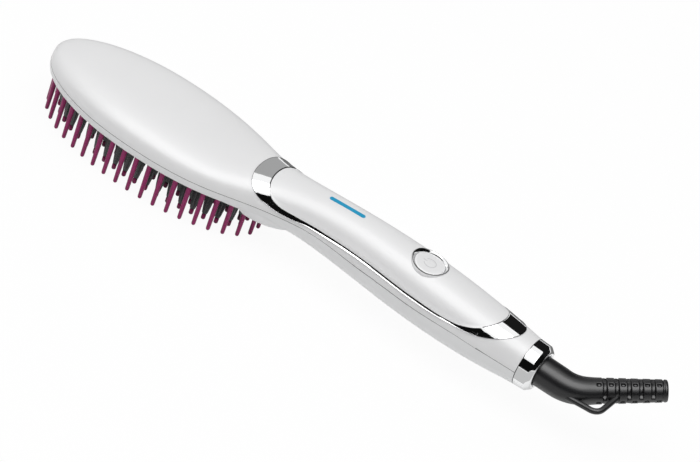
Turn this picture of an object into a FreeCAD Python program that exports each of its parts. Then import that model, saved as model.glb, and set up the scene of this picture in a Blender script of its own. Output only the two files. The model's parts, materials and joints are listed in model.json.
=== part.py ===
"""Heated straightening brush, built as the separate pieces that it comes apart into.

The brush is drawn with its nose at x = 0, the cord end towards +X, the back of the head up and the
plane where the two head shells meet at z = 0. Every finished piece is then shifted so that the
origin lies under the middle of the whole brush, at the level of the pin tips. Millimetres, degrees.
"""
import math
import os
import re

import FreeCAD
import Part
import Sketcher
from FreeCAD import Placement, Rotation, Vector

SIZES = {
    # Outer skin: each run is the distance on from the section before it, each mid the level of
    # greatest width; crowns are above and depths below the plane where the head's shells meet.
    "head_mid": 62.0,
    "head_half_width": 29.8,
    "head_crown": 12.2,
    "head_depth": 9.0,
    "rump_run": 22.0,
    "rump_taper": 0.9,
    "rump_crown": 11.5,
    "rump_depth": 8.6,
    "shoulder_run": 22.0,
    "shoulder_taper": 5.4,
    "shoulder_crown": 10.7,
    "shoulder_depth": 8.0,
    "throat_run": 20.0,
    "throat_half_width": 17.6,
    "throat_crown": 12.5,
    "throat_depth": 8.6,
    "throat_mid": 0.8,
    "neck_run": 19.0,
    "neck_half_width": 14.0,
    "neck_crown": 15.2,
    "neck_depth": 9.4,
    "neck_mid": 2.6,
    "waist_run": 20.0,
    "waist_half_width": 13.4,
    "waist_crown": 17.3,
    "waist_depth": 10.5,
    "waist_mid": 3.4,
    "grip_run": 35.0,
    "grip_half_width": 15.2,
    "grip_crown": 18.1,
    "grip_depth": 13.2,
    "grip_mid": 2.4,
    "heel_run": 38.0,
    "heel_half_width": 15.3,
    "heel_crown": 15.7,
    "heel_depth": 13.9,
    "heel_mid": 0.9,
    "wrist_run": 18.0,
    "wrist_half_width": 13.7,
    "wrist_crown": 13.8,
    "wrist_depth": 13.1,
    "wrist_mid": 0.4,
    "tail_run": 16.0,
    "tail_radius": 12.0,
    "head_fullness": 0.66,
    "rim_fullness": 0.85,
    "grip_fullness": 0.59,
    "parting_rise": 5.8,
    "wall": 1.6,
    "trim_proud": 0.3,
    "seam": 0.1,
    "parting_gap": 0.25,
    # Head underside: rim, chin, pin frame, heated plate, pins and teeth.
    "rim_drop": 4.2,
    "nose_inset": 4.5,
    "throat_inset": 0.5,
    "pin_inset": 3.4,
    "chin_gap": 2.5,
    "chin_slope": 4.2,
    "chin_run": 3.9,
    "chin_length": 26.5,
    "chin_half_width": 16.6,
    "chin_height": 9.1,
    "chin_level": 4.4,
    "frame_band": 4.0,
    "frame_drop": 3.4,
    "frame_thickness": 2.0,
    "frame_gap": 0.3,
    "pin_pitch": 7.1,
    "pin_radius": 1.25,
    "pin_tip_radius": 0.95,
    "pin_drop": 25.8,
    "plate_thickness": 3.0,
    "plate_flange": 1.6,
    "tooth_inset": 2.2,
    "tooth_pitch": 7.3,
    "tooth_row_gap": 10.2,
    "tooth_root_length": 5.0,
    "tooth_root_width": 3.4,
    "tooth_end_length": 2.7,
    "tooth_end_width": 2.2,
    "tooth_drop": 21.8,
    "tip_radius": 1.1,
    "tip_length": 3.2,
    # Heater stack on the back of the plate.
    "heater_length": 34.0,
    "heater_width": 14.0,
    "heater_thickness": 2.4,
    "heater_gap": 4.0,
    "mica_thickness": 0.5,
    "clamp_thickness": 1.0,
    "clamp_margin": 3.0,
    "clamp_screw_radius": 1.2,
    "clamp_screw_head": 1.3,
    "plate_skin": 1.0,
    "fuse_radius": 1.9,
    "fuse_length": 10.0,
    "bead_radius": 1.2,
    "bead_length": 4.0,
    "lead_radius": 0.9,
    "lead_clear": 0.7,
    "lead_overlap": 8.0,
    "lead_bend": 12.0,
    # Controls in the top of the handle.
    "led_lead": 0.6,
    "led_length": 19.3,
    "led_width": 2.2,
    "button_run": 11.3,
    "button_radius": 7.5,
    "button_gap": 0.15,
    "button_lip": 0.9,
    "button_flange": 1.2,
    "button_travel": 0.8,
    "ring_wall": 1.55,
    "ring_depth": 5.9,
    "board_start": 7.0,
    "board_stop": 5.0,
    "board_half_width": 9.0,
    "board_thickness": 1.6,
    "switch_side": 6.0,
    "switch_height": 4.05,
    "plunger_radius": 1.7,
    "plunger_stand": 1.05,
    "lamp_length": 3.2,
    "lamp_width": 2.8,
    "lamp_height": 1.2,
    "triac_run": 14.0,
    "triac_thickness": 4.6,
    "triac_width": 10.0,
    "triac_height": 9.0,
    "triac_tab": 1.3,
    "capacitor_run": 6.0,
    "capacitor_radius": 4.0,
    "capacitor_length": 13.0,
    "post_radius": 2.8,
    "post_run": 30.0,
    "post_inset": 5.0,
    "board_screw_radius": 1.1,
    "board_screw_head": 1.4,
    "board_screw_depth": 6.0,
    "case_screw_run": 2.0,
    "case_screw_radius": 1.3,
    "case_screw_head": 2.0,
    "case_boss_radius": 3.4,
    "plug_radius": 2.6,
    "plug_proud": 0.6,
    "plug_depth": 4.0,
    # Swivelling cord end.
    "collar_length": 8.0,
    "collar_taper": 0.7,
    "collar_wall": 4.0,
    "collar_spigot": 4.0,
    "collar_edge": 1.2,
    "spindle_radius": 4.5,
    "spindle_bore": 2.4,
    "spindle_lead": 15.7,
    "running_gap": 0.05,
    "end_float": 0.3,
    "bush_length": 6.0,
    "slip_ring_stand": 1.1,
    "slip_ring_length": 2.4,
    "slip_ring_pitch": 5.0,
    "slip_ring_inset": 1.0,
    "clip_stand": 1.9,
    "clip_thickness": 0.8,
    "contact_thickness": 0.6,
    "contact_width": 7.0,
    "contact_block_length": 11.0,
    "contact_block_width": 13.0,
    "boot_gap": 0.5,
    "boot_lead": 16.6,
    "boot_bend": 38.0,
    "boot_turn": 66.0,
    "boot_bend_radius": 20.0,
    "boot_waist_radius": 6.5,
    "boot_ribs_start": 9.0,
    "boot_reach": 43.4,
    "boot_rib_radius": 6.25,
    "boot_end_radius": 5.25,
    "boot_core_wall": 1.2,
    "boot_slot": 1.2,
    "boot_slot_pitch": 5.5,
    "boot_web": 2.6,
    "boot_pit_radius": 1.1,
    "cord_bore": 3.0,
    "cord_bore_depth": 32.0,
    "loop_radius": 1.2,
    "loop_first": 4.4,
    "loop_last": 28.4,
    "loop_peak": 18.3,
    "loop_reach": 9.6,
    "loop_bend": 6.0,
    "loop_droop": 73.0,
}

# Sizes that follow from the ones above.
DERIVED = {
    "rump_x": "head_mid + rump_run",
    "rump_half_width": "head_half_width - rump_taper",
    "shoulder_x": "rump_x + shoulder_run",
    "shoulder_half_width": "head_half_width - shoulder_taper",
    "throat_x": "shoulder_x + throat_run",
    "neck_x": "throat_x + neck_run",
    "waist_x": "neck_x + waist_run",
    "grip_x": "waist_x + grip_run",
    "heel_x": "grip_x + heel_run",
    "wrist_x": "heel_x + wrist_run",
    "tail_x": "wrist_x + tail_run",
    "field_mid": "(throat_x - throat_inset + nose_inset) / 2",
    "pin_ring_length": "(throat_x - throat_inset - nose_inset) / 2",
    "pin_ring_width": "head_half_width - pin_inset",
    "plate_length": "pin_ring_length - frame_band",
    "plate_width": "pin_ring_width - frame_band",
    "plate_face": "-frame_drop",
    "plate_back": "plate_face + plate_thickness",
    "frame_back": "-frame_drop + frame_thickness",
    "tip_drop": "tooth_drop + tip_length",
    "heater_top": "plate_back + heater_thickness",
    "mica_top": "heater_top + mica_thickness",
    "clamp_top": "mica_top + clamp_thickness",
    "lead_side": "case_boss_radius + lead_radius + lead_clear",
    "led_x": "waist_x - led_lead",
    "button_x": "grip_x + button_run",
    "ring_radius": "button_radius + button_gap + ring_wall",
    "ring_foot": "grip_crown - ring_depth",
    "flange_top": "ring_foot - end_float",
    "flange_foot": "flange_top - button_flange",
    "switch_top": "flange_foot - plunger_stand",
    "board_top": "switch_top - switch_height",
    "board_foot": "board_top - board_thickness",
    "board_front": "neck_x + board_start",
    "board_rear": "heel_x - board_stop",
    "post_front": "board_front + post_run",
    "post_rear": "board_rear - post_inset",
    "case_screw_x": "heel_x + case_screw_run",
    "case_seat": "-heel_depth / 2",
    "collar_end": "tail_x + collar_length",
    "collar_end_radius": "tail_radius - collar_taper",
    "collar_bore": "tail_radius - collar_wall",
    "bush_rear": "tail_x - collar_spigot - end_float",
    "bush_front": "bush_rear - bush_length",
    "spindle_front": "bush_front - spindle_lead",
    "slip_ring_radius": "spindle_radius + slip_ring_stand",
    "clip_radius": "spindle_radius + clip_stand",
    "contact_top": "-slip_ring_radius - end_float",
    "boot_neck_radius": "collar_bore - boot_gap",
    "boot_core_radius": "cord_bore + boot_core_wall",
    "boot_corner_x": "collar_end + boot_lead",
    "bend_tangent": "boot_bend_radius * tan(boot_bend / 2)",
    "bend_start": "boot_corner_x - bend_tangent",
    "boot_end_x": "boot_corner_x + boot_reach * cos(boot_bend)",
    "frame_x": "(boot_end_x + boot_end_radius * sin(boot_bend)) / 2",
}

ROUND = 0.5523
FAR = 60.0

doc = FreeCAD.newDocument("straightening_brush")
sheet = doc.addObject("Spreadsheet::Sheet", "sizes")
for row, (alias, number) in enumerate(SIZES.items(), start=1):
    sheet.set(f"A{row}", alias)
    sheet.set(f"B{row}", str(number))
    sheet.setAlias(f"B{row}", alias)
doc.recompute()

finished = {}


def expand(text):
    """Write an expression of size names as one that FreeCAD can read from the sheet."""
    def swap(found):
        word = found.group(0)
        if word in DERIVED:
            return "(" + expand(DERIVED[word]) + ")"
        return "sizes." + word if word in SIZES else word
    return re.sub(r"[a-z][a-z_]*[a-z]", swap, str(text))


def value(text):
    return float(sheet.evalExpression(expand(text)))


def bind(item, prop, text):
    item.setExpression(prop, expand(text))


def place(item, x="0", y="0", z="0"):
    for axis, text in (("x", x), ("y", y), ("z", z)):
        bind(item, f"Placement.Base.{axis}", text)
    return item


def publish(item, label, x="0", y="0", z="0"):
    """Name a finished piece and shift it from the drawing's frame to the part's own."""
    item.Label = label
    if item.isDerivedFrom("Part::Feature") and item.TypeId == "Part::Feature":
        item.Placement = Placement(Vector(-value("frame_x"), 0, value("pin_drop")), Rotation())
    else:
        place(item, f"({x}) - frame_x", y, f"({z}) + pin_drop")
    finished[label] = item
    return item


def pin(sketch, geometry, point, u, v):
    """Hold a sketch point at two expressions."""
    for kind, text in (("DistanceX", u), ("DistanceY", v)):
        held = Sketcher.Constraint(kind, -1, 1, geometry, point, value(text))
        bind(sketch, f"Constraints[{sketch.addConstraint(held)}]", text)


def line(sketch, start, end):
    ends = [Vector(value(u), value(v), 0) for u, v in (start, end)]
    edge = sketch.addGeometry(Part.LineSegment(*ends), False)
    pin(sketch, edge, 1, *start)
    pin(sketch, edge, 2, *end)


def polygon(sketch, corners):
    for start, end in zip(corners, corners[1:] + corners[:1]):
        line(sketch, start, end)


def spline(sketch, poles):
    """A clamped cubic whose control points are held by expressions."""
    points = [Vector(value(u), value(v), 0) for u, v in poles]
    spans = len(points) - 3
    ends = [4] + [1] * (spans - 1) + [4]
    curve = Part.BSplineCurve()
    curve.buildFromPolesMultsKnots(points, ends, list(range(spans + 1)), False, 3)
    edge = sketch.addGeometry(curve, False)
    for number, (point, (u, v)) in enumerate(zip(points, poles)):
        dot = sketch.addGeometry(Part.Circle(point, Vector(0, 0, 1), 1), True)
        align = "InternalAlignment:Sketcher::BSplineControlPoint"
        sketch.addConstraint(Sketcher.Constraint(align, dot, 3, edge, number))
        sketch.addConstraint(Sketcher.Constraint("Weight", dot, 1.0))
        pin(sketch, dot, 3, u, v)


def body(name):
    return doc.addObject("PartDesign::Body", name)


def plane_sketch(owner, name, role):
    sketch = owner.newObject("Sketcher::SketchObject", name)
    plane = [item for item in owner.Origin.OriginFeatures if item.Role == role][0]
    sketch.AttachmentSupport = [(plane, "")]
    sketch.MapMode = "FlatFace"
    doc.recompute()
    return sketch


def turned(name, corners, axis="H_Axis"):
    """A body of revolution; the corners are (along, across), along X for H_Axis or Z for V_Axis."""
    piece = body(name)
    sketch = plane_sketch(piece, name + "_profile", "XZ_Plane")
    swap = axis == "V_Axis"
    polygon(sketch, [(across, along) if swap else (along, across) for along, across in corners])
    spun = piece.newObject("PartDesign::Revolution", name + "_turn")
    spun.Profile = sketch
    spun.ReferenceAxis = (sketch, [axis])
    spun.Angle = 360
    doc.recompute()
    return piece


def round_edge(piece, name, is_wanted, radius):
    """Fillet the edges of a body that a test picks out."""
    tip = piece.Tip
    names = [f"Edge{i}" for i, edge in enumerate(tip.Shape.Edges, start=1) if is_wanted(edge)]
    fillet = piece.newObject("PartDesign::Fillet", name)
    fillet.Base = (tip, names)
    bind(fillet, "Radius", radius)
    doc.recompute()


def extrude(name, profile, direction, length, symmetric=False):
    item = doc.addObject("Part::Extrusion", name)
    item.Base = profile
    item.DirMode = "Custom"
    item.Dir = direction
    item.Solid = True
    item.Symmetric = symmetric
    bind(item, "LengthFwd", length)
    return item


def box(name, x, y, z, length, width, height):
    item = doc.addObject("Part::Box", name)
    for prop, text in (("Length", length), ("Width", width), ("Height", height)):
        bind(item, prop, text)
    return place(item, x, y, z)


def block(name, middle, low, length, width, height):
    """A box centred across the brush and on a given x, standing on a given height."""
    return box(name, f"({middle}) - ({length}) / 2", f"-({width}) / 2", low, length, width, height)


def cylinder(name, x, y, z, radius, height, along=Vector(0, 0, 1)):
    item = doc.addObject("Part::Cylinder", name)
    bind(item, "Radius", radius)
    bind(item, "Height", height)
    item.Placement.Rotation = Rotation(Vector(0, 0, 1), along)
    return place(item, x, y, z)


def cut(name, base, tool):
    item = doc.addObject("Part::Cut", name)
    item.Base = base
    item.Tool = tool
    return item


def common(name, base, tool):
    item = doc.addObject("Part::Common", name)
    item.Base = base
    item.Tool = tool
    return item


def fuse(name, *pieces):
    item = doc.addObject("Part::MultiFuse", name)
    item.Shapes = list(pieces)
    return item


def group(name, *pieces):
    item = doc.addObject("Part::Compound", name)
    item.Links = list(pieces)
    return item


def feature(name, shape):
    item = doc.addObject("Part::Feature", name)
    item.Shape = shape
    return item


def oval(name, length, width, x, z, height):
    """An elliptical plate lying under the head, given by its half length and half width."""
    rim = doc.addObject("Part::Ellipse", name + "_rim")
    bind(rim, "MajorRadius", length)
    bind(rim, "MinorRadius", width)
    place(rim, x, "0", z)
    return extrude(name, rim, Vector(0, 0, 1), height)


# Outer and inner skins: one smooth loft from the nose to the tail, at a given offset inwards.
HEAD_ANGLES = (15, 30, 45, 60, 75, 90)
SECTIONS = ("rump", "shoulder", "throat", "neck", "waist", "grip", "heel", "wrist")
FLAT_SECTIONS = ("rump", "shoulder")


def section(name, x, half_width, crown, depth, middle, upper, lower):
    """One cross section: four quarter curves around a level of greatest width."""
    sketch = doc.addObject("Sketcher::SketchObject", name)
    sketch.Placement.Rotation = Rotation(Vector(1, 1, 1), 120)
    place(sketch, x)
    for side, height, full in ((1, crown, upper), (-1, crown, upper), (-1, f"-({depth})", lower),
                               (1, f"-({depth})", lower)):
        across = f"{side} * ({half_width})"
        shoulder = f"({middle}) + ({full}) * (({height}) - ({middle}))"
        quarter = [(across, middle), (across, shoulder), (f"({full}) * ({across})", height), ("0", height)]
        spline(sketch, quarter)
    return sketch


def skin(name, offset):
    nose = doc.addObject("Part::Vertex", name + "_nose")
    bind(nose, "X", offset)
    sections = [nose]
    for angle in HEAD_ANGLES:
        sections.append(section(
            f"{name}_head_{angle}",
            f"head_mid - (head_mid - ({offset})) * cos({angle})",
            f"(head_half_width - ({offset})) * sin({angle})",
            f"(head_crown - ({offset})) * sqrt(sin({angle}))",
            f"(head_depth - ({offset})) * sqrt(sin({angle}))",
            "0", "head_fullness", "rim_fullness"))
    for place_name in SECTIONS:
        flat = place_name in FLAT_SECTIONS
        throat = place_name == "throat"
        lower = "(rim_fullness + grip_fullness) / 2" if throat else "grip_fullness"
        sections.append(section(
            f"{name}_{place_name}",
            f"{place_name}_x",
            f"{place_name}_half_width - ({offset})",
            f"{place_name}_crown - ({offset})",
            f"{place_name}_depth - ({offset})",
            "0" if flat else f"{place_name}_mid",
            "head_fullness" if flat else "grip_fullness",
            "rim_fullness" if flat else lower))
    end = f"tail_radius - ({offset})"
    sections.append(section(f"{name}_tail", f"tail_x + ({offset})", end, end, end, "0", ROUND, ROUND))
    loft = doc.addObject("Part::Loft", name)
    loft.Sections = sections
    loft.Solid = True
    return loft


# Side view edges that divide the skin, as control points of smooth curves tied to the sections.
PARTING_EDGE = [
    ("-10", "0"),
    ("head_mid", "0"),
    ("throat_x - 8", "0"),
    ("neck_x - 5", "0.23 * parting_rise"),
    ("waist_x + 15", "parting_rise"),
    ("grip_x + 15", "0.95 * parting_rise"),
    ("heel_x + 7", "0.3 * parting_rise"),
    ("tail_x - 2", "0"),
    ("tail_x + 28", "0"),
]
TRIM_EDGE = [
    ("throat_x - 14", "throat_crown + 3"),
    ("throat_x - 7.5", "throat_crown - 1.5"),
    ("throat_x + 4", "throat_crown - 10"),
    ("neck_x + 4", "neck_crown - 8.2"),
    ("grip_x - 14.5", "grip_crown - 8.6"),
    ("grip_x + 20", "grip_crown - 11.6"),
    ("heel_x + 7.5", "heel_crown - 10.7"),
    ("heel_x + 19.5", "heel_crown - 6.7"),
    ("tail_x - 1", "tail_radius + 4"),
]
PANEL_EDGE = [
    ("throat_x - 4", "throat_crown + 4.5"),
    ("throat_x + 1.5", "throat_crown - 1"),
    ("throat_x + 9.5", "throat_crown - 7.5"),
    ("neck_x + 6.5", "neck_crown - 6.7"),
    ("grip_x - 15", "grip_crown - 7.6"),
    ("grip_x + 20.5", "grip_crown - 10.6"),
    ("heel_x + 4.5", "heel_crown - 9.7"),
    ("heel_x + 14", "heel_crown - 3.7"),
    ("heel_x + 21", "heel_crown + 1.3"),
]


def side_region(name, edge, far, drop="0"):
    """Everything above (far > 0) or below a side view edge, as a block right across the brush."""
    sketch = doc.addObject("Sketcher::SketchObject", name + "_edge")
    sketch.Placement.Rotation = Rotation(Vector(1, 0, 0), 90)
    place(sketch, z=f"-({drop})")
    spline(sketch, edge)
    (first_x, first_z), (last_x, last_z) = edge[0], edge[-1]
    line(sketch, (last_x, last_z), (last_x, far))
    line(sketch, (last_x, far), (first_x, far))
    line(sketch, (first_x, far), (first_x, first_z))
    return extrude(name, sketch, Vector(0, 1, 0), 2 * FAR, symmetric=True)


outer = skin("outer_skin", "0")
proud = skin("proud_skin", "-trim_proud")
inner = skin("inner_skin", "wall")
lining = skin("lining", "wall + seam")
shell = cut("shell_wall", outer, inner)
raised_shell = cut("raised_wall", proud, inner)
panel_region = side_region("panel_region", PANEL_EDGE, FAR)


def make_upper_shell():
    """Back of the head and the sides of the handle, open where the trim and the panel sit."""
    half = common("upper_half", shell, side_region("above_parting", PARTING_EDGE, FAR))
    opening = side_region("trim_opening", TRIM_EDGE, FAR, drop="seam")
    publish(cut("upper_shell", half, opening), "upper_shell")


def chin_tool(name, gap):
    """A leaning elliptical plug under the pin field, whose rear wall forms the chin."""
    rims = []
    for end, grow, drop in (("top", "0", "frame_drop"), ("foot", "chin_slope", "chin_level + chin_height + wall")):
        rim = doc.addObject("Part::Ellipse", f"{name}_{end}")
        bind(rim, "MajorRadius", f"pin_ring_length + {gap} + {grow}")
        bind(rim, "MinorRadius", f"head_half_width + {gap} + {grow}")
        rims.append(place(rim, "field_mid", "0", f"-({drop})"))
    tool = doc.addObject("Part::Loft", name)
    tool.Sections = rims
    tool.Solid = True
    return tool


def pin_well(name, inset, low, height):
    """An upright oval that clears the ring of pins."""
    reach = f"pin_radius + frame_gap - ({inset})"
    return oval(name, f"pin_ring_length + {reach}", f"pin_ring_width + {reach}", "field_mid", low, height)


def chin_swelling():
    """A rounded swelling under the throat, which fills the belly out behind the pins."""
    bulge = doc.addObject("Part::Ellipsoid", "chin_swelling")
    for radius, size in (("Radius1", "chin_height"), ("Radius2", "chin_length"), ("Radius3", "chin_half_width")):
        bind(bulge, radius, size)
    return place(bulge, "throat_x - chin_run", "0", "-chin_level")


def make_lower_shell():
    """Head rim and handle belly, cut away under the pins, with posts for the board and the screw."""
    belly = cut("belly_wall", fuse("belly_outside", outer, chin_swelling()), inner)
    half = common("lower_half", belly, side_region("below_parting", PARTING_EDGE, -FAR, drop="parting_gap"))
    pocket = chin_tool("chin_pocket", "chin_gap")
    below_rim = box("below_rim", "0", -FAR, -FAR, "tail_x", 2 * FAR, f"{FAR} - rim_drop")
    chin_ring = cut("chin_ring", chin_tool("chin_back", "chin_gap + wall"),
                    chin_tool("chin_front", "chin_gap + running_gap"))
    behind = box("behind_field", "field_mid", -FAR, -FAR, "tail_x", 2 * FAR, f"{FAR} - frame_drop - seam")
    chin_wall = common("chin_wall", common("chin_inside", chin_ring, outer), behind)
    well = pin_well("pin_well", "0", -FAR, f"{FAR} + frame_back")
    rim = cut("lower_rim", half, fuse("rim_tools", common("rim_pocket", pocket, below_rim), well))
    posts = []
    for name, x, radius, top in (("front_post", "post_front", "post_radius", "board_foot"),
                                 ("rear_post", "post_rear", "post_radius", "board_foot"),
                                 ("case_post", "case_screw_x", "case_boss_radius", "-seam")):
        posts.append(cylinder(name, x, "0", -FAR, radius, f"{FAR} + {top}"))
    inside = common("posts_inside", fuse("posts", *posts), outer)
    solid = fuse("lower_solid", rim, chin_wall, inside)
    holes = [
        cylinder("front_pilot", "post_front", "0", "board_foot - board_screw_depth", "board_screw_radius",
                 "board_screw_depth"),
        cylinder("rear_pilot", "post_rear", "0", "board_foot - board_screw_depth", "board_screw_radius",
                 "board_screw_depth"),
        cylinder("case_hole", "case_screw_x", "0", -FAR, "case_screw_radius + seam", FAR),
        cylinder("plug_hole", "case_screw_x", "0", -FAR, "plug_radius + seam", f"{FAR} + case_seat"),
    ]
    publish(cut("lower_shell", solid, fuse("lower_holes", *holes)), "lower_shell")


def make_trim():
    """Plated ring between the shells and the panel, wide at both ends and thin along the sides."""
    band = common("trim_band", raised_shell, side_region("trim_region", TRIM_EDGE, FAR))
    hole = side_region("trim_hole", PANEL_EDGE, FAR, drop="seam")
    publish(cut("chrome_trim", band, hole), "chrome_trim")


def make_panel():
    """Top of the handle, with the button's hole, the light's slot and the boss for the case screw."""
    cover = common("panel_cover", shell, panel_region)
    boss = common("panel_boss", cylinder("boss_rod", "case_screw_x", "0", "0", "case_boss_radius", FAR), outer)
    openings = [
        cylinder("button_hole", "button_x", "0", "0", "ring_radius + running_gap", FAR),
        light_bar("light_slot", "0"),
        cylinder("boss_pilot", "case_screw_x", "0", "0", "case_screw_radius", "heel_crown - 2 * wall"),
    ]
    publish(cut("top_panel", fuse("panel_solid", cover, boss), fuse("panel_openings", *openings)), "top_panel")
    publish(common("led_window", shell, light_bar("window_bar", "seam")), "led_window")


def light_bar(name, inset):
    """An upright bar with round ends, for the light's slot and, a little smaller, its window."""
    width = f"(led_width - 2 * ({inset}))"
    straight = "(led_length - led_width)"
    rods = [cylinder(f"{name}_{end}", f"led_x {end_sign} {straight} / 2", "0", "waist_mid", f"{width} / 2", FAR)
            for end, end_sign in (("front", "-"), ("rear", "+"))]
    return fuse(name, block(name + "_bar", "led_x", "waist_mid", straight, width, FAR), *rods)


def make_button():
    """Plated ring with a sprung cap in it; both follow the curve of the panel."""
    sleeve = cut("ring_sleeve",
                 cylinder("ring_rod", "button_x", "0", "ring_foot", "ring_radius", FAR),
                 cylinder("ring_bore", "button_x", "0", "ring_foot", "button_radius + button_gap", FAR))
    publish(common("button_ring", sleeve, proud), "button_ring")
    cap = common("cap_crown", cylinder("cap_rod", "button_x", "0", "flange_foot", "button_radius", FAR), proud)
    flange = cylinder("cap_flange", "button_x", "0", "flange_foot", "button_radius + button_lip", "button_flange")
    publish(fuse("power_button", cap, flange), "power_button")


def make_switch():
    """Tact switch under the cap: a square body with a plunger that stands out of it."""
    rise = "switch_top - board_top"
    square = block("switch_block", "button_x", "board_top", "switch_side", "switch_side", rise)
    well = cylinder("plunger_well", "button_x", "0", "switch_top - 2 * button_travel",
                    "plunger_radius + running_gap", FAR)
    publish(cut("switch_body", square, well), "switch_body")
    foot = "switch_top - button_travel + running_gap"
    plunger = cylinder("switch_plunger", "0", "0", "0", "plunger_radius", f"flange_foot - ({foot})")
    publish(plunger, "switch_plunger", "button_x", "0", foot)


def make_board():
    """Control board on two posts, with the light, the triac, the capacitor and its screws."""
    sheet_blank = box("board_blank", "board_front", "-board_half_width", "board_foot",
                      "board_rear - board_front", "2 * board_half_width", "board_thickness")
    holes = [cylinder(f"board_hole_{end}", f"post_{end}", "0", "board_foot", "board_screw_radius + seam",
                      "board_thickness") for end in ("front", "rear")]
    publish(cut("control_board", sheet_blank, fuse("board_holes", *holes)), "control_board")
    lamp = [block("lamp_base", "led_x", "board_top", "lamp_length", "lamp_width", "lamp_height"),
            block("lamp_lens", "led_x", "board_top", "lamp_length * 0.75", "lamp_width * 0.75", "lamp_height * 1.7")]
    publish(fuse("status_led", *lamp), "status_led")
    stand = "post_front + triac_run"
    triac = [box("triac_case", f"{stand} - triac_thickness", "-triac_width / 2", "board_top",
                 "triac_thickness", "triac_width", "triac_height"),
             box("triac_tab", stand, "-triac_width / 2", "board_top",
                 "triac_tab", "triac_width", "triac_height + triac_tab / 2")]
    publish(fuse("triac", *triac), "triac")
    can = cylinder("capacitor", "0", "0", "0", "capacitor_radius", "capacitor_length", Vector(1, 0, 0))
    publish(can, "capacitor", "post_front + capacitor_run", "0", "board_foot - capacitor_radius")
    screws = []
    for end in ("front", "rear"):
        shank = cylinder(f"board_shank_{end}", f"post_{end}", "0", "board_top - board_screw_depth",
                         "board_screw_radius - seam", "board_screw_depth")
        head = cylinder(f"board_head_{end}", f"post_{end}", "0", "board_top", "1.9 * board_screw_radius",
                        "board_screw_head")
        screws.append(fuse(f"board_screw_{end}", shank, head))
    publish(group("board_screws", *screws), "board_screws")


def make_case_screw():
    """The one screw from below that draws the shells together, and the soft plug that hides it."""
    head = cylinder("case_head", "case_screw_x", "0", "case_seat - case_screw_head", "plug_radius - seam",
                    "case_screw_head")
    shank = cylinder("case_shank", "case_screw_x", "0", "case_seat", "case_screw_radius - seam", "heel_depth")
    publish(fuse("case_screw", head, shank), "case_screw")
    low = "-heel_depth - plug_proud"
    plug = turned("screw_plug", [("0", "0"), ("0", "plug_radius - plug_proud"), ("plug_proud", "plug_radius"),
                                 ("plug_proud + plug_depth", "plug_radius"), ("plug_proud + plug_depth", "0")],
                  axis="V_Axis")
    publish(plug, "screw_plug", "case_screw_x", "0", low)


def make_pin_frame():
    """Insulating frame that fills the rim and carries the guard pins around the heated plate."""
    plate = oval("frame_plate", "pin_ring_length + pin_inset", "pin_ring_width + pin_inset", "field_mid",
                 "-frame_drop", "frame_thickness")
    window = oval("frame_window", "plate_length + frame_gap", "plate_width + frame_gap", "field_mid",
                  "-frame_drop", "frame_thickness")
    filled = fuse("frame_in_rim", common("frame_in_shell", plate, lining),
                  pin_well("frame_in_well", "seam", "-frame_drop", "frame_thickness"))
    publish(cut("pin_frame", filled, window), "pin_frame")


def ring_points(length, width, pitch=None, count=None):
    """Points at an even pitch, or a given number, around an ellipse, with its direction at each."""
    steps = 2000
    turn = [2 * math.pi * i / steps for i in range(steps + 1)]
    spots = [Vector(length * math.cos(a), width * math.sin(a), 0) for a in turn]
    run = [0.0]
    for before, after in zip(spots, spots[1:]):
        run.append(run[-1] + (after - before).Length)
    count = count or int(run[-1] / pitch / 2 + 0.5) * 2
    found = []
    for number in range(count):
        goal = run[-1] * (number + 0.5) / count
        index = next(i for i, length_so_far in enumerate(run) if length_so_far >= goal)
        along = math.degrees(math.atan2(width * math.cos(turn[index]), -length * math.sin(turn[index])))
        found.append((spots[index], along))
    return found


def copies(shape, spots):
    """Copies of a piece drawn at the origin, each turned and moved to a spot in the pin field."""
    middle = Vector(value("field_mid"), 0, 0)
    return Part.makeCompound([
        shape.transformed(Placement(middle + spot, Rotation(Vector(0, 0, 1), along)).toMatrix(), True)
        for spot, along in spots])


def pin_spots():
    return ring_points(value("pin_ring_length"), value("pin_ring_width"), value("pin_pitch"))


def make_guard_pins():
    """Ring of blunt nylon pins that keep the hot teeth off the scalp."""
    pin_blank = turned("pin_blank", [
        ("-frame_drop", "0"),
        ("-frame_drop", "pin_radius"),
        ("-pin_drop + pin_tip_radius / 2", "pin_tip_radius"),
        ("-pin_drop", "pin_tip_radius / 2"),
        ("-pin_drop", "0"),
    ], axis="V_Axis")
    publish(feature("guard_pins", copies(pin_blank.Shape, pin_spots())), "guard_pins")


def tooth_spots():
    """A ring with one tooth behind each gap between pins, then straight rows inside it."""
    pitch, gap = value("tooth_pitch"), value("tooth_row_gap")
    length = value("plate_length - tooth_inset")
    width = value("plate_width - tooth_inset")
    spots = ring_points(length, width, count=len(pin_spots()))
    rows = int((width - gap / 2) / gap)
    for row_number in range(-rows, rows + 1):
        y = row_number * gap
        reach = length * math.sqrt(1 - ((abs(y) + gap / 2) / width) ** 2)
        each_side = int(reach / pitch)
        spots += [(Vector(i * pitch, y, 0), 0.0) for i in range(-each_side, each_side + 1)]
    return spots


def six_sided(sketch, length, width):
    """A flat six sided outline, pointed at both ends."""
    polygon(sketch, [(f"({length}) / 2", "0"), (f"({length}) / 4", f"({width}) / 2"),
                     (f"-({length}) / 4", f"({width}) / 2"), (f"-({length}) / 2", "0"),
                     (f"-({length}) / 4", f"-({width}) / 2"), (f"({length}) / 4", f"-({width}) / 2")])


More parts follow.
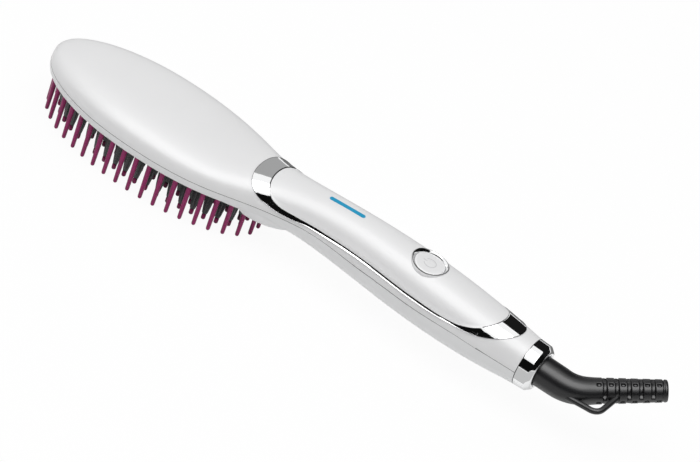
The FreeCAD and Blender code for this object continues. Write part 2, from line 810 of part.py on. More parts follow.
def make_teeth():
    """Tapered heated teeth on the plate, each with a small cool nylon tip on its end."""
    tooth = body("tooth_blank")
    profiles = []
    for name, length, width, z in (("root", "tooth_root_length", "tooth_root_width", "plate_face"),
                                   ("end", "tooth_end_length", "tooth_end_width", "-tooth_drop")):
        sketch = plane_sketch(tooth, f"tooth_{name}", "XY_Plane")
        bind(sketch, "AttachmentOffset.Base.z", z)
        six_sided(sketch, length, width)
        profiles.append(sketch)
    taper = tooth.newObject("PartDesign::AdditiveLoft", "tooth_taper")
    taper.Profile = profiles[0]
    taper.Sections = profiles[1:]
    doc.recompute()
    spots = tooth_spots()
    publish(feature("heated_teeth", copies(tooth.Shape, spots)), "heated_teeth")
    tip_blank = turned("tip_blank", [
        ("-tooth_drop", "0"),
        ("-tooth_drop", "tip_radius"),
        ("-tip_drop + tip_radius / 2", "tip_radius"),
        ("-tip_drop", "tip_radius / 2"),
        ("-tip_drop", "0"),
    ], axis="V_Axis")
    publish(feature("tooth_tips", copies(tip_blank.Shape, spots)), "tooth_tips")


def heater_middles():
    """Middles of the two heaters, one each side of the field's middle."""
    return [f"field_mid {sign} (heater_length + heater_gap) / 2" for sign in "-+"]


def make_heater():
    """Heated plate with its two ceramic heaters, mica sheet, clamp plate, sensor and fuse."""
    face = oval("plate_boss", "plate_length", "plate_width", "field_mid", "plate_face", "plate_thickness")
    flange = oval("plate_rim", "plate_length + plate_flange", "plate_width + plate_flange", "field_mid",
                  "frame_back", "plate_back - frame_back")
    tapped = [f"clamp_tap_{i}" for i in range(3)]
    spots = ["field_mid", "field_mid - heater_length - heater_gap", "field_mid + heater_length + heater_gap"]
    taps = [cylinder(name, x, "0", "plate_face + plate_skin", "clamp_screw_radius", FAR) for name, x in zip(tapped, spots)]
    publish(cut("heating_plate", fuse("plate_solid", face, flange), fuse("plate_taps", *taps)), "heating_plate")
    chips = [block(f"heater_{i}", x, "plate_back", "heater_length", "heater_width", "heater_thickness")
             for i, x in enumerate(heater_middles())]
    publish(group("ptc_heaters", *chips), "ptc_heaters")
    long = "2 * (heater_length + heater_gap) + 2 * clamp_margin"
    wide = "heater_width + clamp_margin"
    layers = (("mica_sheet", "heater_top", "mica_thickness"), ("clamp_plate", "mica_top", "clamp_thickness"))
    for label, low, thick in layers:
        flat = block(label + "_blank", "field_mid", low, long, wide, thick)
        clear = [cylinder(f"{label}_hole_{i}", x, "0", low, "clamp_screw_radius + seam", thick)
                 for i, x in enumerate(spots)]
        publish(cut(label, flat, fuse(label + "_holes", *clear)), label)
    screws = []
    for i, x in enumerate(spots):
        shank = cylinder(f"clamp_shank_{i}", x, "0", "plate_face + plate_skin + seam",
                         "clamp_screw_radius - seam", "clamp_top - plate_face - plate_skin - seam")
        head = cylinder(f"clamp_head_{i}", x, "0", "clamp_top", "2 * clamp_screw_radius", "clamp_screw_head")
        screws.append(fuse(f"clamp_screw_{i}", shank, head))
    publish(group("clamp_screws", *screws), "clamp_screws")
    fuse_can = cylinder("thermal_fuse", "0", "0", "0", "fuse_radius", "fuse_length", Vector(1, 0, 0))
    publish(fuse_can, "thermal_fuse", "field_mid + heater_gap", "0", "clamp_top + fuse_radius")
    bead = cylinder("thermistor", "0", "0", "0", "bead_radius", "bead_length", Vector(1, 0, 0))
    publish(bead, "thermistor", "field_mid", "heater_width / 2 + clamp_margin", "plate_back + bead_radius")


def tube(points, radius, bends):
    """A round wire along straight runs joined by tangent arcs, one bend radius for each inner point."""
    edges = []
    start = points[0]
    for before, corner, after, bend in zip(points, points[1:], points[2:], bends):
        arriving = (corner - before).normalize()
        leaving = (after - corner).normalize()
        back_off = bend * math.tan(arriving.getAngle(leaving) / 2)
        arc_start = corner - arriving * back_off
        arc_end = corner + leaving * back_off
        inward = (leaving - arriving).normalize()
        centre = corner + inward * math.hypot(bend, back_off)
        edges.append(Part.LineSegment(start, arc_start).toShape())
        edges.append(Part.Arc(arc_start, centre - inward * bend, arc_end).toShape())
        start = arc_end
    edges.append(Part.LineSegment(start, points[-1]).toShape())
    path = Part.Wire(edges)
    ring = Part.Wire(Part.makeCircle(radius, points[0], points[1] - points[0]))
    return path.makePipeShell([ring], True, False)


def make_leads():
    """Two heater leads from the board over the clamp plate, and two supply leads to the contacts."""
    radius, side = value("lead_radius"), value("lead_side")
    bend, overlap = value("lead_bend"), value("lead_overlap")
    clamp_end = value("field_mid + heater_length + heater_gap + clamp_margin")
    board_edge = value("board_front")
    low, high = value("clamp_top + lead_radius"), value("board_top + lead_radius")
    under, deep = value("board_foot - lead_radius"), value("contact_top - contact_thickness - lead_radius")
    board_end, block_face = value("board_rear"), value("spindle_front - slip_ring_inset")
    to_heater, to_contacts = [], []
    for y in (-side, side):
        to_heater.append(tube([
            Vector(clamp_end - overlap, y, low),
            Vector(clamp_end + bend / 2, y, low),
            Vector(board_edge - bend, y, high),
            Vector(board_edge + overlap / 2, y, high)], radius, [bend, bend]))
        to_contacts.append(tube([
            Vector(board_end - overlap, y, under),
            Vector(board_end - 2 * radius, y, under),
            Vector(block_face - overlap / 2, y, deep),
            Vector(block_face, y, deep)], radius, [2.5 * radius, 2.5 * radius]))
    publish(feature("heater_leads", Part.makeCompound(to_heater)), "heater_leads")
    publish(feature("supply_leads", Part.makeCompound(to_contacts)), "supply_leads")


def make_collar():
    """Plated end ring, with a spigot that centres it in the shells and a bore around the boot."""
    collar = turned("end_collar", [
        ("tail_x", "tail_radius"),
        ("collar_end", "collar_end_radius"),
        ("collar_end", "collar_bore"),
        ("tail_x - collar_spigot", "collar_bore"),
        ("tail_x - collar_spigot", "tail_radius - wall - seam"),
        ("tail_x", "tail_radius - wall - seam"),
    ])
    end, radius = value("collar_end"), value("collar_end_radius")

    def is_outer_end(edge):
        return abs(edge.BoundBox.XMin - end) < 1e-6 and abs(edge.BoundBox.ZMax - radius) < 1e-6
    round_edge(collar, "collar_edge_fillet", is_outer_end, "collar_edge")
    publish(collar, "end_collar")


def make_swivel():
    """Bush, hollow spindle, slip rings, clip and spring contacts that let the cord end turn."""
    bush = turned("bush_blank", [
        ("bush_front", "spindle_radius + running_gap"),
        ("bush_rear", "spindle_radius + running_gap"),
        ("bush_rear", "heel_crown"),
        ("bush_front", "heel_crown"),
    ])
    publish(common("swivel_bush", bush, lining), "swivel_bush")
    spindle = turned("swivel_spindle", [
        ("spindle_front", "spindle_bore"),
        ("spindle_front", "spindle_radius"),
        ("bush_rear + end_float", "spindle_radius"),
        ("bush_rear + end_float", "collar_bore - end_float"),
        ("tail_x", "collar_bore - end_float"),
        ("tail_x", "spindle_radius"),
        ("bend_start", "spindle_radius"),
        ("bend_start", "spindle_bore"),
    ])
    publish(spindle, "swivel_spindle")
    starts = [f"spindle_front + slip_ring_inset + {i} * slip_ring_pitch" for i in range(2)]
    rings = [turned(f"slip_ring_{i}", [
        (start, "spindle_radius"),
        (start, "slip_ring_radius"),
        (f"{start} + slip_ring_length", "slip_ring_radius"),
        (f"{start} + slip_ring_length", "spindle_radius"),
    ]) for i, start in enumerate(starts)]
    publish(group("slip_rings", *rings), "slip_rings")
    clip = turned("retaining_clip", [
        ("bush_front - end_float", "spindle_radius"),
        ("bush_front - end_float", "clip_radius"),
        ("bush_front - end_float - clip_thickness", "clip_radius"),
        ("bush_front - end_float - clip_thickness", "spindle_radius"),
    ])
    publish(clip, "retaining_clip")
    carrier = box("carrier_block", "spindle_front - slip_ring_inset", "-contact_block_width / 2", -FAR,
                  "contact_block_length", "contact_block_width", f"{FAR} + contact_top - contact_thickness")
    publish(common("contact_block", carrier, lining), "contact_block")
    leaves = [box(f"contact_leaf_{i}", start, "-contact_width / 2", "contact_top - contact_thickness",
                  "slip_ring_length", "contact_width", "contact_thickness") for i, start in enumerate(starts)]
    publish(group("contact_springs", *leaves), "contact_springs")


def make_boot():
    """Rubber boot: a tapering elbow, then a straight end slotted from alternate sides to flex."""
    neck = cylinder("boot_neck", "tail_x + end_float", "0", "0", "boot_neck_radius",
                    "bend_start - tail_x - end_float", Vector(1, 0, 0))
    stations = []
    for share in (0, 1, 2, 3):
        angle = f"boot_bend * {share} / 3"
        stations.append((
            f"bend_start + boot_bend_radius * sin({angle})",
            f"boot_bend_radius * (1 - cos({angle}))",
            angle,
            f"boot_neck_radius + (boot_waist_radius - boot_neck_radius) * {share} / 3"))
    stations.append(("boot_corner_x + boot_ribs_start * cos(boot_bend)", "boot_ribs_start * sin(boot_bend)",
                     "boot_bend", "boot_rib_radius"))
    hoops = []
    for number, (x, z, angle, radius) in enumerate(stations):
        hoop = doc.addObject("Part::Circle", f"boot_hoop_{number}")
        bind(hoop, "Radius", radius)
        hoop.Placement.Rotation = Rotation(Vector(0, 1, 0), 90 - value(angle))
        bind(hoop, "Placement.Rotation.Angle", f"90 - ({angle})")
        hoops.append(place(hoop, x, "0", z))
    elbow = doc.addObject("Part::Loft", "boot_elbow")
    elbow.Sections = hoops
    elbow.Solid = True
    end = doc.addObject("Part::Cone", "boot_straight")
    bind(end, "Radius1", "boot_rib_radius")
    bind(end, "Radius2", "boot_end_radius")
    bind(end, "Height", "boot_reach - boot_ribs_start")
    aim_along_boot(end, "boot_ribs_start")
    hole = cylinder("boot_bore", "0", "0", "0", "cord_bore", "cord_bore_depth")
    aim_along_boot(hole, "boot_reach - cord_bore_depth")
    slots = feature("boot_slots", boot_slots())
    core = cylinder("spindle_hole", "tail_x", "0", "0", "spindle_radius",
                    "bend_start - tail_x", Vector(1, 0, 0))
    solid = fuse("boot_solid", neck, elbow, end)
    return solid, cut("strain_relief_boot", solid, fuse("boot_cuts", hole, slots, core))


def aim_along_boot(item, start):
    """Stand a piece on the boot's straight axis, a given distance past its corner."""
    item.Placement.Rotation = Rotation(Vector(0, 1, 0), 90 - value("boot_bend"))
    bind(item, "Placement.Rotation.Angle", "90 - boot_bend")
    place(item, f"boot_corner_x + ({start}) * cos(boot_bend)", "0", f"({start}) * sin(boot_bend)")


def boot_slots():
    """Grooves across the straight end, open at both sides, with four pits in each rib between them."""
    pitch, width = value("boot_slot_pitch"), value("boot_slot")
    core, rim = value("boot_core_radius"), value("boot_rib_radius") + 1
    web, pit = value("boot_web"), value("boot_pit_radius")
    count = int((value("boot_reach") - value("boot_ribs_start")) / pitch)
    cuts = []
    for number in range(count):
        foot = Vector(0, 0, (number + 1) * pitch - width / 2)
        if number < count - 1:
            ring = Part.makeCylinder(rim, width, foot).cut(Part.makeCylinder(core, width, foot))
            cuts.append(ring.cut(Part.makeBox(2 * rim, 2 * web, width, foot - Vector(rim, web, 0))))
        for quarter in range(4):
            outward = Rotation(Vector(0, 0, 1), 90 * quarter).multVec(Vector(1, 0, 0))
            start = outward * core + Vector(0, 0, (number + 0.5) * pitch)
            cuts.append(Part.makeCylinder(pit, rim - core, start, outward))
    tool = Part.makeCompound(cuts)
    angle = value("boot_bend")
    direction = Vector(math.cos(math.radians(angle)), 0, math.sin(math.radians(angle)))
    foot = Vector(value("boot_corner_x"), 0, 0) + direction * value("boot_ribs_start")
    return tool.transformed(Placement(foot, Rotation(Vector(0, 1, 0), 90 - angle)).toMatrix(), True)


def make_loop(boot_solid):
    """Hanging loop that stands out from the boot, in one plane with the axis of the boot's end."""
    angle = math.radians(value("boot_bend"))
    along = Vector(math.cos(angle), 0, math.sin(angle))
    under = Vector(math.sin(angle), 0, -math.cos(angle))
    droop = math.radians(value("loop_droop"))
    outward = Vector(0, -math.cos(droop), 0) + under * math.sin(droop)
    corner = Vector(value("boot_corner_x"), 0, 0)

    def spot(run, reach):
        return corner + along * value(f"{run} - bend_tangent") + outward * (value("boot_waist_radius") + reach)
    sunk = -value("boot_waist_radius") / 3
    points = [spot("loop_first", sunk), spot("loop_peak", value("loop_reach")), spot("loop_last", sunk)]
    wire = feature("loop_wire", tube(points, value("loop_radius"), [value("loop_bend")]))
    publish(turn_about_handle(cut("hanging_loop", wire, boot_solid)), "hanging_loop")


def turn_about_handle(item):
    """Turn a piece drawn with the boot bent upwards to where the swivel rests, about the handle's axis."""
    item.Placement.Rotation = Rotation(Vector(-1, 0, 0), value("boot_turn"))
    bind(item, "Placement.Rotation.Angle", "boot_turn")
    return item


make_upper_shell()
make_lower_shell()
make_trim()
make_panel()
make_button()
make_switch()
make_board()
make_case_screw()
make_pin_frame()
make_guard_pins()
make_teeth()
make_heater()
make_leads()
make_collar()
make_swivel()
boot_outside, boot = make_boot()
make_loop(boot_outside)
publish(turn_about_handle(boot), "strain_relief_boot")
doc.recompute()

for item in doc.Objects:
    if "Invalid" in item.State or "Error" in item.State:
        raise RuntimeError(f"{item.Label} failed: {item.State}")
for label, item in finished.items():
    if item.Shape.isNull() or not item.Shape.isValid() or not item.Shape.Solids:
        raise RuntimeError(f"{label} has no valid solid")

os.makedirs("parts", exist_ok=True)
for label, item in finished.items():
    item.Shape.exportStep(f"parts/{label}.step")
    print(f"{label}: {len(item.Shape.Solids)} solids, {item.Shape.Volume:.1f} mm3")
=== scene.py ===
"""Looks of the heated straightening brush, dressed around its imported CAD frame."""
import json
import math

import bmesh
import bpy
from mathutils import Matrix, Vector
from mathutils.bvhtree import BVHTree


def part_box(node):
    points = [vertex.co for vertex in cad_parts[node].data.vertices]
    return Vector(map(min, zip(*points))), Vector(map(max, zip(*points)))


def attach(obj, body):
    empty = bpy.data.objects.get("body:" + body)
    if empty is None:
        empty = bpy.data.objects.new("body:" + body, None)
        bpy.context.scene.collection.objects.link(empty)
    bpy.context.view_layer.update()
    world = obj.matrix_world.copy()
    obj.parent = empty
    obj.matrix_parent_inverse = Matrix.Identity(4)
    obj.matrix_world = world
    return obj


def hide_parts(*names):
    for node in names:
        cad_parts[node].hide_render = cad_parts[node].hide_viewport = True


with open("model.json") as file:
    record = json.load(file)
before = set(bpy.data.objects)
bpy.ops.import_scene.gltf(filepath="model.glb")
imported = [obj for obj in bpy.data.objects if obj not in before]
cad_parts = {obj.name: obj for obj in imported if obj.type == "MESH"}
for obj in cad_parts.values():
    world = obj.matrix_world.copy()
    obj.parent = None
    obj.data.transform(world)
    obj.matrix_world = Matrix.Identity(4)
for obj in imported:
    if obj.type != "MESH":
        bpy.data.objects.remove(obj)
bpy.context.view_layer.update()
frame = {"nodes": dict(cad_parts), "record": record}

# Back of the head and flanks of the handle, with the panel that closes the handle's top. Both are
# injection moulded and sprayed with a pearl lacquer; they clip together along the chrome ring.
nodes = frame["nodes"]


def new_material(name):
    """An empty node material with its shader, ready to be wired."""
    material = bpy.data.materials.new(name)
    material.use_nodes = True
    tree = material.node_tree
    return material, tree, tree.nodes["Principled BSDF"]


def group_socket(group, name, kind, direction, default=None):
    """One named input or output of a shader group."""
    socket = group.interface.new_socket(name=name, in_out=direction, socket_type=kind)
    if default is not None:
        socket.default_value = default


def make_moulded_surface():
    """Slow drift of tone and gloss with a fine grain on top, as on sprayed or moulded parts."""
    group = bpy.data.node_groups.new("moulded_surface", "ShaderNodeTree")
    group_socket(group, "Colour", "NodeSocketColor", "INPUT", (0.8, 0.8, 0.8, 1))
    group_socket(group, "Drift", "NodeSocketFloat", "INPUT", 0.04)
    group_socket(group, "Roughness", "NodeSocketFloat", "INPUT", 0.4)
    group_socket(group, "Gloss Drift", "NodeSocketFloat", "INPUT", 0.06)
    group_socket(group, "Grain Scale", "NodeSocketFloat", "INPUT", 2500.0)
    group_socket(group, "Colour", "NodeSocketColor", "OUTPUT")
    group_socket(group, "Roughness", "NodeSocketFloat", "OUTPUT")
    group_socket(group, "Grain", "NodeSocketFloat", "OUTPUT")
    link = group.links.new
    inputs = group.nodes.new("NodeGroupInput")
    outputs = group.nodes.new("NodeGroupOutput")
    place = group.nodes.new("ShaderNodeTexCoord")
    slow = group.nodes.new("ShaderNodeTexNoise")
    slow.inputs["Scale"].default_value = 60
    slow.inputs["Detail"].default_value = 3
    fine = group.nodes.new("ShaderNodeTexNoise")
    fine.inputs["Detail"].default_value = 2
    link(place.outputs["Object"], slow.inputs["Vector"])
    link(place.outputs["Object"], fine.inputs["Vector"])
    link(inputs.outputs["Grain Scale"], fine.inputs["Scale"])
    both = group.nodes.new("ShaderNodeMath")
    both.operation = "ADD"
    link(slow.outputs["Fac"], both.inputs[0])
    link(fine.outputs["Fac"], both.inputs[1])
    centred = group.nodes.new("ShaderNodeMath")
    centred.operation = "SUBTRACT"
    centred.inputs[1].default_value = 1.0
    link(both.outputs[0], centred.inputs[0])
    tone = group.nodes.new("ShaderNodeMath")
    tone.operation = "MULTIPLY_ADD"
    tone.inputs[2].default_value = 1.0
    link(centred.outputs[0], tone.inputs[0])
    link(inputs.outputs["Drift"], tone.inputs[1])
    tinted = group.nodes.new("ShaderNodeVectorMath")
    tinted.operation = "SCALE"
    link(inputs.outputs["Colour"], tinted.inputs[0])
    link(tone.outputs[0], tinted.inputs["Scale"])
    link(tinted.outputs[0], outputs.inputs["Colour"])
    gloss = group.nodes.new("ShaderNodeMath")
    gloss.operation = "MULTIPLY_ADD"
    link(centred.outputs[0], gloss.inputs[0])
    link(inputs.outputs["Gloss Drift"], gloss.inputs[1])
    link(inputs.outputs["Roughness"], gloss.inputs[2])
    link(gloss.outputs[0], outputs.inputs["Roughness"])
    link(fine.outputs["Fac"], outputs.inputs["Grain"])
    return group


moulded_surface = make_moulded_surface()


def moulded_material(name, colour, roughness, drift=0.04, grain=2500.0, relief=0.00002):
    """A material whose colour, gloss and grain come from the moulded surface."""
    material, tree, shader = new_material(name)
    surface = tree.nodes.new("ShaderNodeGroup")
    surface.node_tree = moulded_surface
    surface.inputs["Colour"].default_value = (*colour, 1)
    surface.inputs["Drift"].default_value = drift
    surface.inputs["Roughness"].default_value = roughness
    surface.inputs["Grain Scale"].default_value = grain
    bump = tree.nodes.new("ShaderNodeBump")
    bump.inputs["Distance"].default_value = relief
    bump.inputs["Strength"].default_value = 0.5
    tree.links.new(surface.outputs["Colour"], shader.inputs["Base Color"])
    tree.links.new(surface.outputs["Roughness"], shader.inputs["Roughness"])
    tree.links.new(surface.outputs["Grain"], bump.inputs["Height"])
    tree.links.new(bump.outputs["Normal"], shader.inputs["Normal"])
    return material, shader


def paint(material, *names):
    """Give carried-over nodes one material."""
    for name in names:
        nodes[name].data.materials.clear()
        nodes[name].data.materials.append(material)


pearl, pearl_shader = moulded_material("pearl_lacquer", (0.80, 0.80, 0.805), 0.42, drift=0.02, grain=6000.0,
                                       relief=0.000004)
pearl_shader.inputs["Metallic"].default_value = 0.06
pearl_shader.inputs["Coat Weight"].default_value = 0.25
pearl_shader.inputs["Coat Roughness"].default_value = 0.2
paint(pearl, "upper_shell", "top_panel")

# Rim of the head and belly of the handle, moulded in the same white but left satin, so it reads a little
# greyer. Its colour is painted a little lighter than the lacquer's, as painted light against the shade
# under the brush. One screw from below holds it, under a plug of the same plastic.
lightened_satin, lightened_satin_shader = moulded_material("satin_belly_painted_lighter", (0.84, 0.845, 0.85), 0.42, drift=0.03, grain=5000.0,
                                       relief=0.000006)
lightened_satin_shader.inputs["Metallic"].default_value = 0.05
paint(lightened_satin, "lower_shell", "screw_plug")

# Dark line where the two shells meet: a thin bead of black rubber in the parting gap, which paints the
# shade that falls in the gap. Along the handle the upper shell laps down over the lower one with a thin
# pearl skirt, and the bead follows its lower edge.
MM = 0.001
rubber_and_gap_shade, rubber_and_gap_shade_shader = moulded_material("black_rubber_and_gap_shade", (0.009, 0.009, 0.010), 0.31, drift=0.25,
                                         grain=3000.0)
rubber_and_gap_shade_shader.inputs["Specular IOR Level"].default_value = 0.75


def finished(mesh, name, body, material, replaced=None, sharp=50):
    """Turn a mesh into a piece that rides on a body."""
    data = bpy.data.meshes.new(name)
    mesh.to_mesh(data)
    mesh.free()
    data.shade_smooth()
    data.set_sharp_from_angle(angle=math.radians(sharp))
    data.materials.append(material)
    piece = bpy.data.objects.new(name, data)
    bpy.context.scene.collection.objects.link(piece)
    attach(piece, body)
    if replaced:
        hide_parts(replaced)
    return piece


ON_MIDDLE = 0.01 * MM
EDGE_RADIANS = 0.6


def is_skin(normal):
    """Whether a face of the near half lies on the outside: it looks sideways, up or to the front."""
    return normal.y < -0.2 or normal.z > 0.35 or normal.x < -0.6


def edge_line(name, is_wall):
    """The longest run of near-side edges, from head to tail, where a node's skin turns into a cut wall."""
    copy = bmesh.new()
    copy.from_mesh(nodes[name].data)
    bmesh.ops.remove_doubles(copy, verts=copy.verts, dist=1e-6)
    copy.normal_update()
    chosen = set()
    for edge in copy.edges:
        if len(edge.link_faces) != 2 or any(vert.co.y > ON_MIDDLE for vert in edge.verts):
            continue
        pair = list(edge.link_faces)
        for wall, skin in (pair, pair[::-1]):
            turns = wall.normal.angle(skin.normal) > EDGE_RADIANS
            if is_wall(wall.normal) and is_skin(skin.normal) and turns:
                chosen.add(edge)
    longest = []
    for edge in copy.edges:
        if edge not in chosen:
            continue
        chosen.remove(edge)
        run = list(edge.verts)
        for _ in range(2):
            run.reverse()
            follow = next((side for side in run[-1].link_edges if side in chosen), None)
            while follow:
                chosen.remove(follow)
                run.append(follow.other_vert(run[-1]))
                follow = next((side for side in run[-1].link_edges if side in chosen), None)
        if len(run) > len(longest):
            longest = run
    points = [vert.co.copy() for vert in longest]
    copy.free()
    return points if points[0].x < points[-1].x else points[::-1]


def round_line(name, radius, smoothness):
    """An empty curve with a round section and closed ends."""
    line = bpy.data.curves.new(name, "CURVE")
    line.dimensions = "3D"
    line.bevel_depth = radius
    line.bevel_resolution = smoothness
    line.use_fill_caps = True
    return line


def tube_of(line):
    """The closed tube that a round line makes; the line itself is removed."""
    holder = bpy.data.objects.new("holder", line)
    bpy.context.scene.collection.objects.link(holder)
    data = bpy.data.meshes.new_from_object(holder.evaluated_get(bpy.context.evaluated_depsgraph_get()))
    bpy.data.objects.remove(holder)
    bpy.data.curves.remove(line)
    mesh = bmesh.new()
    mesh.from_mesh(data)
    bpy.data.meshes.remove(data)
    bmesh.ops.remove_doubles(mesh, verts=mesh.verts, dist=1e-7)
    bmesh.ops.recalc_face_normals(mesh, faces=mesh.faces)
    return mesh


def shade_thread(name, points, thickness):
    """Painted shade in a gap: a thin black thread along near-side points, round the first and back along
    the far side.
    """
    line = round_line(name, thickness / 2, 1)
    closed = abs(points[-1].y) < ON_MIDDLE
    far_side = [Vector((point.x, -point.y, point.z)) for point in points[1:len(points) - closed]]
    route = points[::-1] + far_side
    spline = line.splines.new("POLY")
    spline.points.add(len(route) - 1)
    for spot, point in zip(spline.points, route):
        spot.co = (*point, 1)
    spline.use_cyclic_u = closed
    finished(tube_of(line), name, "housing", rubber_and_gap_shade)


def on_line(points, x):
    """The point of a line at one place along the brush."""
    for first, second in zip(points, points[1:]):
        if first.x <= x <= second.x:
            share = (x - first.x) / (second.x - first.x)
            return first.lerp(second, share)
    return points[-1].copy()


def bridged(mesh, rings):
    """Skin a row of rings and close its two ends."""
    for first, second in zip(rings, rings[1:]):
        pair = [set(first), set(second)]
        loops = dict.fromkeys(edge for vert in first + second for edge in vert.link_edges
                              if any(edge.verts[0] in ring and edge.verts[1] in ring for ring in pair))
        bmesh.ops.bridge_loops(mesh, edges=list(loops))
    bmesh.ops.holes_fill(mesh, edges=mesh.edges, sides=0)
    bmesh.ops.recalc_face_normals(mesh, faces=mesh.faces)


def skin_of(*names):
    """The outer surfaces of some carried-over nodes, to look up the nearest point on them."""
    copy = bmesh.new()
    for name in names:
        copy.from_mesh(nodes[name].data)
    tree = BVHTree.FromBMesh(copy)
    copy.free()
    return tree


def sagging(x, start, full, ease, end):
    """Swells from 0 at the start to 1 and fades back to 0 at the end, along the brush."""
    share = max(0.0, min(1.0, (x - start) / (full - start), (end - x) / (end - ease)))
    return share * share * (3 - 2 * share)


EVEN_PASSES = 3


def side_strip(rows):
    """A closed strip on both flanks, through rows of corners that are first evened out along the brush."""
    for _ in range(EVEN_PASSES):
        threes = zip(rows, rows[1:], rows[2:])
        evened = [[(a + b * 2 + c) / 4 for a, b, c in zip(*three)] for three in threes]
        rows = [rows[0]] + evened + [rows[-1]]
    mesh = bmesh.new()
    rings = []
    for corners in rows:
        ring = bmesh.ops.create_circle(mesh, segments=len(corners), radius=MM)["verts"]
        for vert, corner in zip(ring, corners):
            vert.co = corner
        rings.append(ring)
    bridged(mesh, rings)
    bmesh.ops.mirror(mesh, geom=mesh.verts[:] + mesh.edges[:] + mesh.faces[:], axis="Y", merge_dist=-1)
    bmesh.ops.recalc_face_normals(mesh, faces=mesh.faces)
    return mesh


SKIRT_LAP = [2 * MM, 1.6 * MM, 1.2 * MM, 0.8 * MM, 0.5 * MM, 0.2 * MM]
SKIRT_STEPS = 5
SKIRT_STEP_LEAST = 0.02 * MM
SKIRT_PAST = 0.4 * MM
SKIRT_LIFT = 0.035 * MM
SKIRT_ROOT = 0.25 * MM
THIN_TOP, THIN_GROWTH = 0.08, 0.18
TIGHT_PASSES = 6


def skirt_line(skin, top, up, out, drop):
    """Points from above a line down over a skin, drawn tight where the skin has a gap."""
    below = [-drop * part / SKIRT_STEPS - SKIRT_STEP_LEAST * part for part in range(SKIRT_STEPS + 1)]
    past_edge = -drop - SKIRT_PAST
    line = [skin.find_nearest(top + up * level)[0] for level in SKIRT_LAP + below + [past_edge]]
    for _ in range(TIGHT_PASSES):
        for i in range(1, len(line) - 1):
            chord = (line[i - 1] + line[i + 1]) / 2
            if (chord - line[i]).dot(out) > 0:
                line[i] = chord
    return line[:-1]


def skirt_row(line, out):
    """Corners of a skirt along such points, outer side first, which runs out thin at its top."""
    lifts = [SKIRT_LIFT * min(1.0, THIN_TOP + THIN_GROWTH * row) for row in range(len(line))]
    outside = [point + out * lift for point, lift in zip(line, lifts)]
    return outside + [point - out * SKIRT_ROOT for point in reversed(line)]


SAG_FRONT, SAG_FULL, SAG_EASE, SAG_REAR = -14 * MM, 22 * MM, 42 * MM, 84 * MM
SAG_DEPTH = 3.3 * MM
SKIRT_FLARE = 0.015
STRIP_STEPS = 60
SHADE_THREAD_THICK = 0.66 * MM
SHADE_THREAD_SUNK = 0.27 * MM
SHADE_THREAD_LOWER = Vector((0, 0, -0.1 * MM))
near, upwards = Vector((0, -1, 0)), Vector((0, 0, 1))
both_shells = skin_of("upper_shell", "lower_shell")
shell_edge = edge_line("upper_shell", lambda normal: normal.z < -0.9)
skirt_edge, skirt_rows = [], []
for step in range(STRIP_STEPS + 1):
    x = SAG_FRONT + (SAG_REAR - SAG_FRONT) * step / STRIP_STEPS
    drop = SAG_DEPTH * sagging(x, SAG_FRONT, SAG_FULL, SAG_EASE, SAG_REAR)
    skirt = skirt_line(both_shells, on_line(shell_edge, x), upwards, near, drop)
    skirt_rows.append(skirt_row(skirt, near))
    skirt_edge.append(skirt[-1] + near * SKIRT_FLARE * drop)
finished(side_strip(skirt_rows), "shell_apron", "housing", pearl, sharp=40)
ahead_of_skirt = [point for point in shell_edge if point.x < SAG_FRONT]
behind_skirt = [point for point in shell_edge if point.x > SAG_REAR]
parting = ahead_of_skirt + skirt_edge + behind_skirt
parting_shade_line = []
for i, point in enumerate(parting):
    ahead = parting[min(i + 1, len(parting) - 1)] - parting[max(i - 1, 0)]
    inward = Vector((-ahead.y, ahead.x, 0)).normalized()
    parting_shade_line.append(point + inward * SHADE_THREAD_SUNK + SHADE_THREAD_LOWER)
# Painted shade: a black rubber thread along the parting gap.
shade_thread("parting_shade_thread", parting_shade_line, SHADE_THREAD_THICK)

# Chrome ring around the panel: a plastic moulding with a bright plated skin, pressed into the shell. Along
# the sides it is only a narrow strip under the panel's skirt, and its lower edge stands out as a bevelled
# lip.
chrome, chrome_tree, chrome_shader = new_material("bright_plating")
chrome_shader.inputs["Metallic"].default_value = 1.0
plating = chrome_tree.nodes.new("ShaderNodeGroup")
plating.node_tree = moulded_surface
plating.inputs["Colour"].default_value = (0.92, 0.925, 0.93, 1)
plating.inputs["Drift"].default_value = 0.02
plating.inputs["Roughness"].default_value = 0.05
plating.inputs["Gloss Drift"].default_value = 0.05
chrome_tree.links.new(plating.outputs["Colour"], chrome_shader.inputs["Base Color"])
chrome_tree.links.new(plating.outputs["Roughness"], chrome_shader.inputs["Roughness"])
paint(chrome, "chrome_trim")
strip_low = edge_line("chrome_trim", lambda normal: abs(normal.y) < 0.2 and normal.z < -0.5)
strip_high = edge_line("chrome_trim", lambda normal: abs(normal.y) < 0.2 and normal.z > 0.5)
flank = skin_of("upper_shell", "chrome_trim", "top_panel")
LIP_FRONT_GAP, LIP_REAR_GAP = 3.5 * MM, 6 * MM
lip_front, lip_rear = strip_high[0].x + LIP_FRONT_GAP, strip_high[-1].x - LIP_REAR_GAP
LIP_SAG = (-31 * MM, 2 * MM, 34 * MM, 76 * MM)
LIP_DROP = 1.8 * MM
LIP_WIDTH = 1.9 * MM
LIP_LIFT = 0.05 * MM
LIP_TILT, LEDGE_TILT = 0.15, 0.58
LIP_GROWTH, LEDGE_GROWTH = 10, 8
LEDGE_FRONT, LEDGE_REAR = 0.18, 0.935
LEDGE_WIDTH, LEDGE_LEAST = 0.44 * MM, 0.02 * MM
LEDGE_LAP = 0.3 * MM
BRIM_THICK, BRIM_IN = 0.06 * MM, 0.1 * MM
LIP_ROOT = 0.3 * MM
WEDGE = (-34 * MM, -27 * MM, -20 * MM, -14 * MM)
WEDGE_WIDTH = 1.1 * MM
lip_rows, apron_rows = [], []
